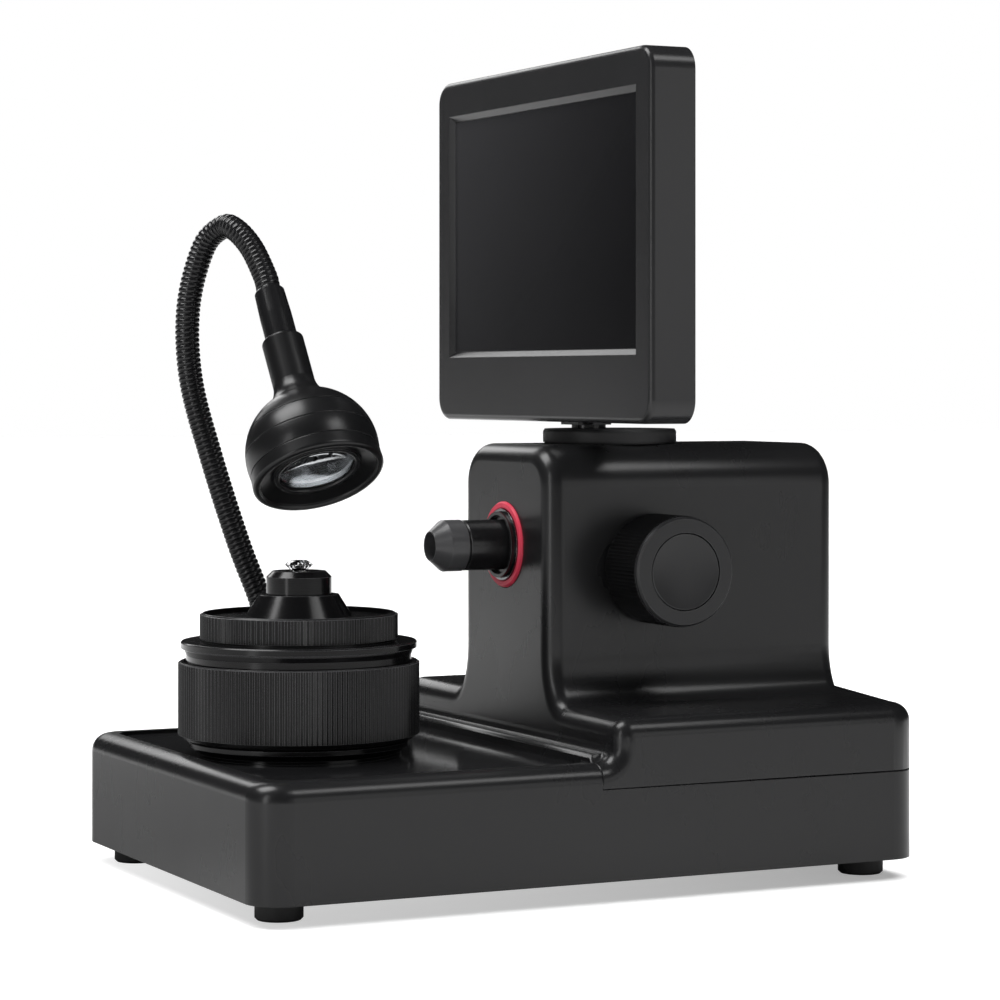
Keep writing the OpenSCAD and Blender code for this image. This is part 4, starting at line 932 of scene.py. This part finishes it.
# The gooseneck's centre line from its socket, in mm
ROUTE = [
    (0, 0, -2), (0, 0, 6), (0, 0, 14), (-0.4, -0.6, 22), (-2.2, -3.3, 35),
    (-4.9, -8.9, 51.5), (-7.3, -15.9, 74.8), (-8.7, -21.3, 96.2), (-8.3, -22.2, 115.9),
    (-5.4, -18.9, 132.2), (-0.6, -15.1, 137.7), (4.9, -13.4, 136.7), (10.7, -11.1, 131.6),
]
# Where the centre line ends inside the lamp's sleeve, along the head's axis
ROUTE_END = (0.0605, 0.056, 0.0455)
STEPS_BETWEEN = 24
HOSE_STEPS = 360
# One rib from groove to groove: share of the pitch, share of the depth
RIB = [(0.0, 0.0), (0.08, 0.25), (0.2, 0.78), (0.36, 0.97), (0.5, 1.0),
       (0.64, 0.97), (0.8, 0.78), (0.92, 0.25), (1.0, 0.0)]


def hose_line(steps):
    """The gooseneck's centre line from the socket to the lamp's sleeve, evenly spaced."""
    root = Vector((SOCKET.x, SOCKET.y, FLOOR_OF_SOCKET))
    points = [root + Vector(p) * MM for p in ROUTE]
    points += [HEAD_FRAME @ Vector((0, 0, along)) for along in ROUTE_END]
    fine = []
    for i in range(len(points) - 1):
        a, b, c, d = (points[min(max(j, 0), len(points) - 1)] for j in range(i - 1, i + 3))
        for k in range(STEPS_BETWEEN):
            t = k / STEPS_BETWEEN
            fine.append(0.5 * (2 * b + (c - a) * t + (2 * a - 5 * b + 4 * c - d) * t ** 2
                               + (3 * b - a - 3 * c + d) * t ** 3))
    fine.append(points[-1])
    lengths = [0.0]
    for p, q in zip(fine, fine[1:]):
        lengths.append(lengths[-1] + (q - p).length)
    line, place = [], 0
    for k in range(steps + 1):
        want = lengths[-1] * k / steps
        while place < len(fine) - 2 and lengths[place + 1] < want:
            place += 1
        share = (want - lengths[place]) / (lengths[place + 1] - lengths[place])
        line.append(fine[place].lerp(fine[place + 1], min(1, share)))
    return line, lengths[-1]


class MICROSCOPE_OT_gooseneck(bpy.types.Operator):
    """Model the gooseneck: a wound skin of round ribs that follows the bent line"""
    bl_idname = "microscope.gooseneck"
    bl_label = "Gooseneck"

    def execute(self, context):
        s = context.scene.microscope_hose
        line, length = hose_line(HOSE_STEPS)
        start_clean()
        bpy.ops.curve.primitive_nurbs_path_add()
        guide = context.object
        guide.data.splines.clear()
        spline = guide.data.splines.new("POLY")
        spline.points.add(len(line) - 1)
        for point, place in zip(spline.points, line):
            point.co = (*place, 1)
        guide.data.dimensions = "3D"
        guide.data.twist_mode = "MINIMUM"

        start_clean()
        bpy.ops.mesh.primitive_plane_add(size=0.001, location=(0, 0, 0))
        hose = context.object
        edit(hose)
        bpy.ops.mesh.select_all(action="SELECT")
        bpy.ops.mesh.merge(type="CENTER")
        bpy.ops.transform.translate(value=(s.radius - s.depth, 0, 0))
        for (a, low), (b, high) in zip(RIB, RIB[1:]):
            bpy.ops.mesh.extrude_region_move(TRANSFORM_OT_translate={
                "value": ((high - low) * s.depth, 0, (b - a) * s.pitch)})
        bpy.ops.object.mode_set(mode="OBJECT")
        turns = int(length / s.pitch) - 1
        apply_modifier(hose, "SCREW", axis="Z", angle=2 * math.pi, screw_offset=s.pitch,
                       iterations=turns, steps=s.sides, render_steps=s.sides,
                       use_merge_vertices=True, merge_threshold=0.00001)
        edit(hose)
        bpy.ops.mesh.select_all(action="SELECT")
        bpy.ops.mesh.remove_doubles(threshold=0.000005)
        bpy.ops.mesh.fill_holes(sides=0)
        bpy.ops.mesh.select_all(action="SELECT")
        bpy.ops.mesh.normals_make_consistent(inside=False)
        bpy.ops.object.mode_set(mode="OBJECT")
        apply_modifier(hose, "CURVE", object=guide, deform_axis="POS_Z")
        bpy.data.objects.remove(guide)
        finish_piece(hose, "gooseneck_hose", smooth=60)
        paint(hose, "gooseneck_skin")
        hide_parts("gooseneck")
        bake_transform(hose)
        return {"FINISHED"}


# ---------- stage: floor, light, camera ----------


# Every panel of light faces this place
MIDDLE = Vector((0, 0, 0.1))
# Panels of light: name, its setting, place, width and height
LIGHTS = [
    ("Left_light", "left", (0.39, -0.97, 0.32), (0.15, 0.75)),
    ("Upper_left_light", "upper_left", (-0.19, -0.47, 0.93), (0.5, 0.56)),
    ("Upper_right_light", "upper_right", (0.6, 0.36, 0.88), (0.42, 0.3)),
    ("Right_panel", "right", (1.35, 0.66, 0.32), (0.9, 0.45)),
    ("Rear_light", "behind", (-0.9, 0.0, 0.55), (0.45, 0.4)),
]
SKY_DIRECTION = Vector((0, -0.15, -1))
SKY_SPREAD = math.radians(60)

# The floor's painted shadow, a darker patch at the object's front left, from its middle outward,
# and the floor's height
PAINTED_SHADOW_AT = (-0.18, -0.17, 0)
PAINTED_SHADOW_RADIUS = 0.12
PAINTED_SHADOW_FADE = 0.24
PAINTED_SHADOW_COLOUR = (0.3, 0.3, 0.3)
FLOOR_Z = -0.0004

# The surround: where it is brightest, and how it fades behind and above
BRIGHT_SIDE = Vector((0.2, -1, 0)).normalized()
DARK_BEYOND = -0.62
DARK_SIDE = 0.02
FADE_HEIGHT = 0.1
AT_HORIZON = 1.15
ABOVE = 0.17

CAMERA_AT = (0.74986, -0.36369, 0.12899)
CAMERA_TURN = (math.radians(90), 0, math.radians(64.02))
CAMERA_SHIFT = -0.11963
SENSOR_WIDTH = 36


def facing(direction):
    """The rotation that points a light along a direction."""
    return direction.to_track_quat("-Z", "Y").to_euler()


def panel_of_light(name, place, size, power):
    """Adds a rectangular light that faces the object."""
    bpy.ops.object.light_add(type="AREA", location=place)
    light = bpy.context.object
    light.name = name
    light.data.shape = "RECTANGLE"
    light.data.size, light.data.size_y = size
    light.data.energy = power
    light.rotation_euler = facing(MIDDLE - Vector(place))


def make_floor(settings):
    """A pale floor with a painted shadow, a darker patch at the front left that dims what the
    object reflects, which the camera sees as nearly white.
    """
    bpy.ops.mesh.primitive_plane_add(size=settings.floor_size, location=(0, 0, FLOOR_Z))
    floor = bpy.context.object
    edit(floor)
    bpy.ops.mesh.select_all(action="SELECT")
    bpy.ops.mesh.subdivide(number_cuts=8)
    bpy.ops.object.mode_set(mode="OBJECT")
    finish_piece(floor, "studio_floor", smooth=0)
    pale = tuple(settings.floor_colour)
    f = Finish("Studio_floor", pale, 0.9, specular_ior_level=0.1)
    shade = f.noise(0.4, 2)
    seen = f.node("ShaderNodeLightPath", output="Is Camera Ray")
    reach = f.from_axis(PAINTED_SHADOW_AT, "Z")
    in_painted_shadow = (1 - (reach - PAINTED_SHADOW_RADIUS) / PAINTED_SHADOW_FADE).limit()
    # Painted shadow: the floor is darker near the object's front left, and glows more there for
    # the camera alone, so only reflections and bounced light show it
    f.put(base_color=f.blend(in_painted_shadow + shade * 0.02, pale, PAINTED_SHADOW_COLOUR),
          emission_color=f.blend(seen * (in_painted_shadow * 0.6 + 0.35), (0, 0, 0), (0.9, 0.9, 0.9)),
          emission_strength=1.0)
    floor.data.materials.append(f.material)


def make_surround(strength):
    """A surround that is white to the camera and dim to everything else."""
    world = bpy.data.worlds.new("Studio_surround")
    bpy.context.scene.world = world
    nodes = Nodes(world, "ShaderNodeOutputWorld")
    direction = nodes.node("ShaderNodeTexCoord", output="Generated")
    toward = nodes.node("ShaderNodeVectorMath", {"operation": "DOT_PRODUCT"}, direction,
                        BRIGHT_SIDE, output="Value")
    sideways = nodes.node("ShaderNodeMapRange", None, toward, from_min=DARK_BEYOND,
                          to_min=DARK_SIDE, to_max=strength)
    fade = nodes.node("ShaderNodeMapRange", None, nodes.parts(direction)[2],
                      from_max=FADE_HEIGHT, to_min=AT_HORIZON, to_max=ABOVE)
    lit = nodes.node("ShaderNodeBackground", strength=sideways * fade)
    seen = nodes.node("ShaderNodeBackground", None, (1, 1, 1, 1), 1.0)
    ray = nodes.node("ShaderNodeLightPath", output="Is Camera Ray")
    nodes.feed(nodes.surface, nodes.node("ShaderNodeMixShader", None, ray, lit, seen))


def make_camera(lens):
    """The camera, level, with its frame shifted down to the object."""
    bpy.ops.object.camera_add(location=CAMERA_AT, rotation=CAMERA_TURN)
    camera = bpy.context.object
    camera.name = "Camera"
    camera.data.lens = lens
    camera.data.sensor_width = SENSOR_WIDTH
    camera.data.shift_y = CAMERA_SHIFT
    camera.data.clip_start = 0.01
    camera.data.clip_end = 50
    bpy.context.scene.camera = camera


class MICROSCOPE_OT_studio(bpy.types.Operator):
    """Make the pale floor, the soft lights, the surround and the camera"""
    bl_idname = "microscope.studio"
    bl_label = "Studio"

    def execute(self, context):
        s = context.scene.microscope_studio
        start_clean()
        make_floor(s)
        make_surround(s.surround)
        bpy.ops.object.light_add(type="SUN", location=(0, 0, 1.5))
        sky = context.object
        sky.name = "Overhead_light"
        sky.data.energy = s.sky
        sky.data.angle = SKY_SPREAD
        sky.rotation_euler = facing(SKY_DIRECTION)
        sky.visible_glossy = False
        for name, setting, place, size in LIGHTS:
            panel_of_light(name, place, size, getattr(s, setting))
        make_camera(s.lens)
        context.scene.view_settings.view_transform = "Standard"
        return {"FINISHED"}


class MICROSCOPE_PT_panel(bpy.types.Panel):
    """Every setting, and a button for each operator."""
    bl_idname = "MICROSCOPE_PT_panel"
    bl_label = "Bench microscope"
    bl_space_type = "VIEW_3D"
    bl_region_type = "UI"
    bl_category = "Microscope"

    def draw(self, context):
        for group in GROUPS:
            box = self.layout.box()
            settings = getattr(context.scene, "microscope_" + group)
            for key in type(settings).__annotations__:
                box.prop(settings, key)
        for operator in OPERATORS:
            self.layout.operator(operator.bl_idname)


GROUPS = {
    "studio": StudioSettings,
    "finish": FinishSettings,
    "cover": CoverSettings,
    "hose": HoseSettings,
    "lamp": LampSettings,
}
OPERATORS = [
    MICROSCOPE_OT_studio,
    MICROSCOPE_OT_housing,
    MICROSCOPE_OT_cover,
    MICROSCOPE_OT_optics,
    MICROSCOPE_OT_monitor,
    MICROSCOPE_OT_stage_parts,
    MICROSCOPE_OT_lamp,
    MICROSCOPE_OT_gooseneck,
]


def register():
    for made in [*GROUPS.values(), *OPERATORS, MICROSCOPE_PT_panel]:
        bpy.utils.register_class(made)
    for name, group in GROUPS.items():
        setattr(bpy.types.Scene, "microscope_" + name,
                bpy.props.PointerProperty(type=group))


def unregister():
    for name in GROUPS:
        delattr(bpy.types.Scene, "microscope_" + name)
    for made in reversed([*GROUPS.values(), *OPERATORS, MICROSCOPE_PT_panel]):
        bpy.utils.unregister_class(made)


def main():
    register()
    for operator in OPERATORS:
        family, name = operator.bl_idname.split(".")
        getattr(getattr(bpy.ops, family), name)()


if __name__ == "__main__":
    main()
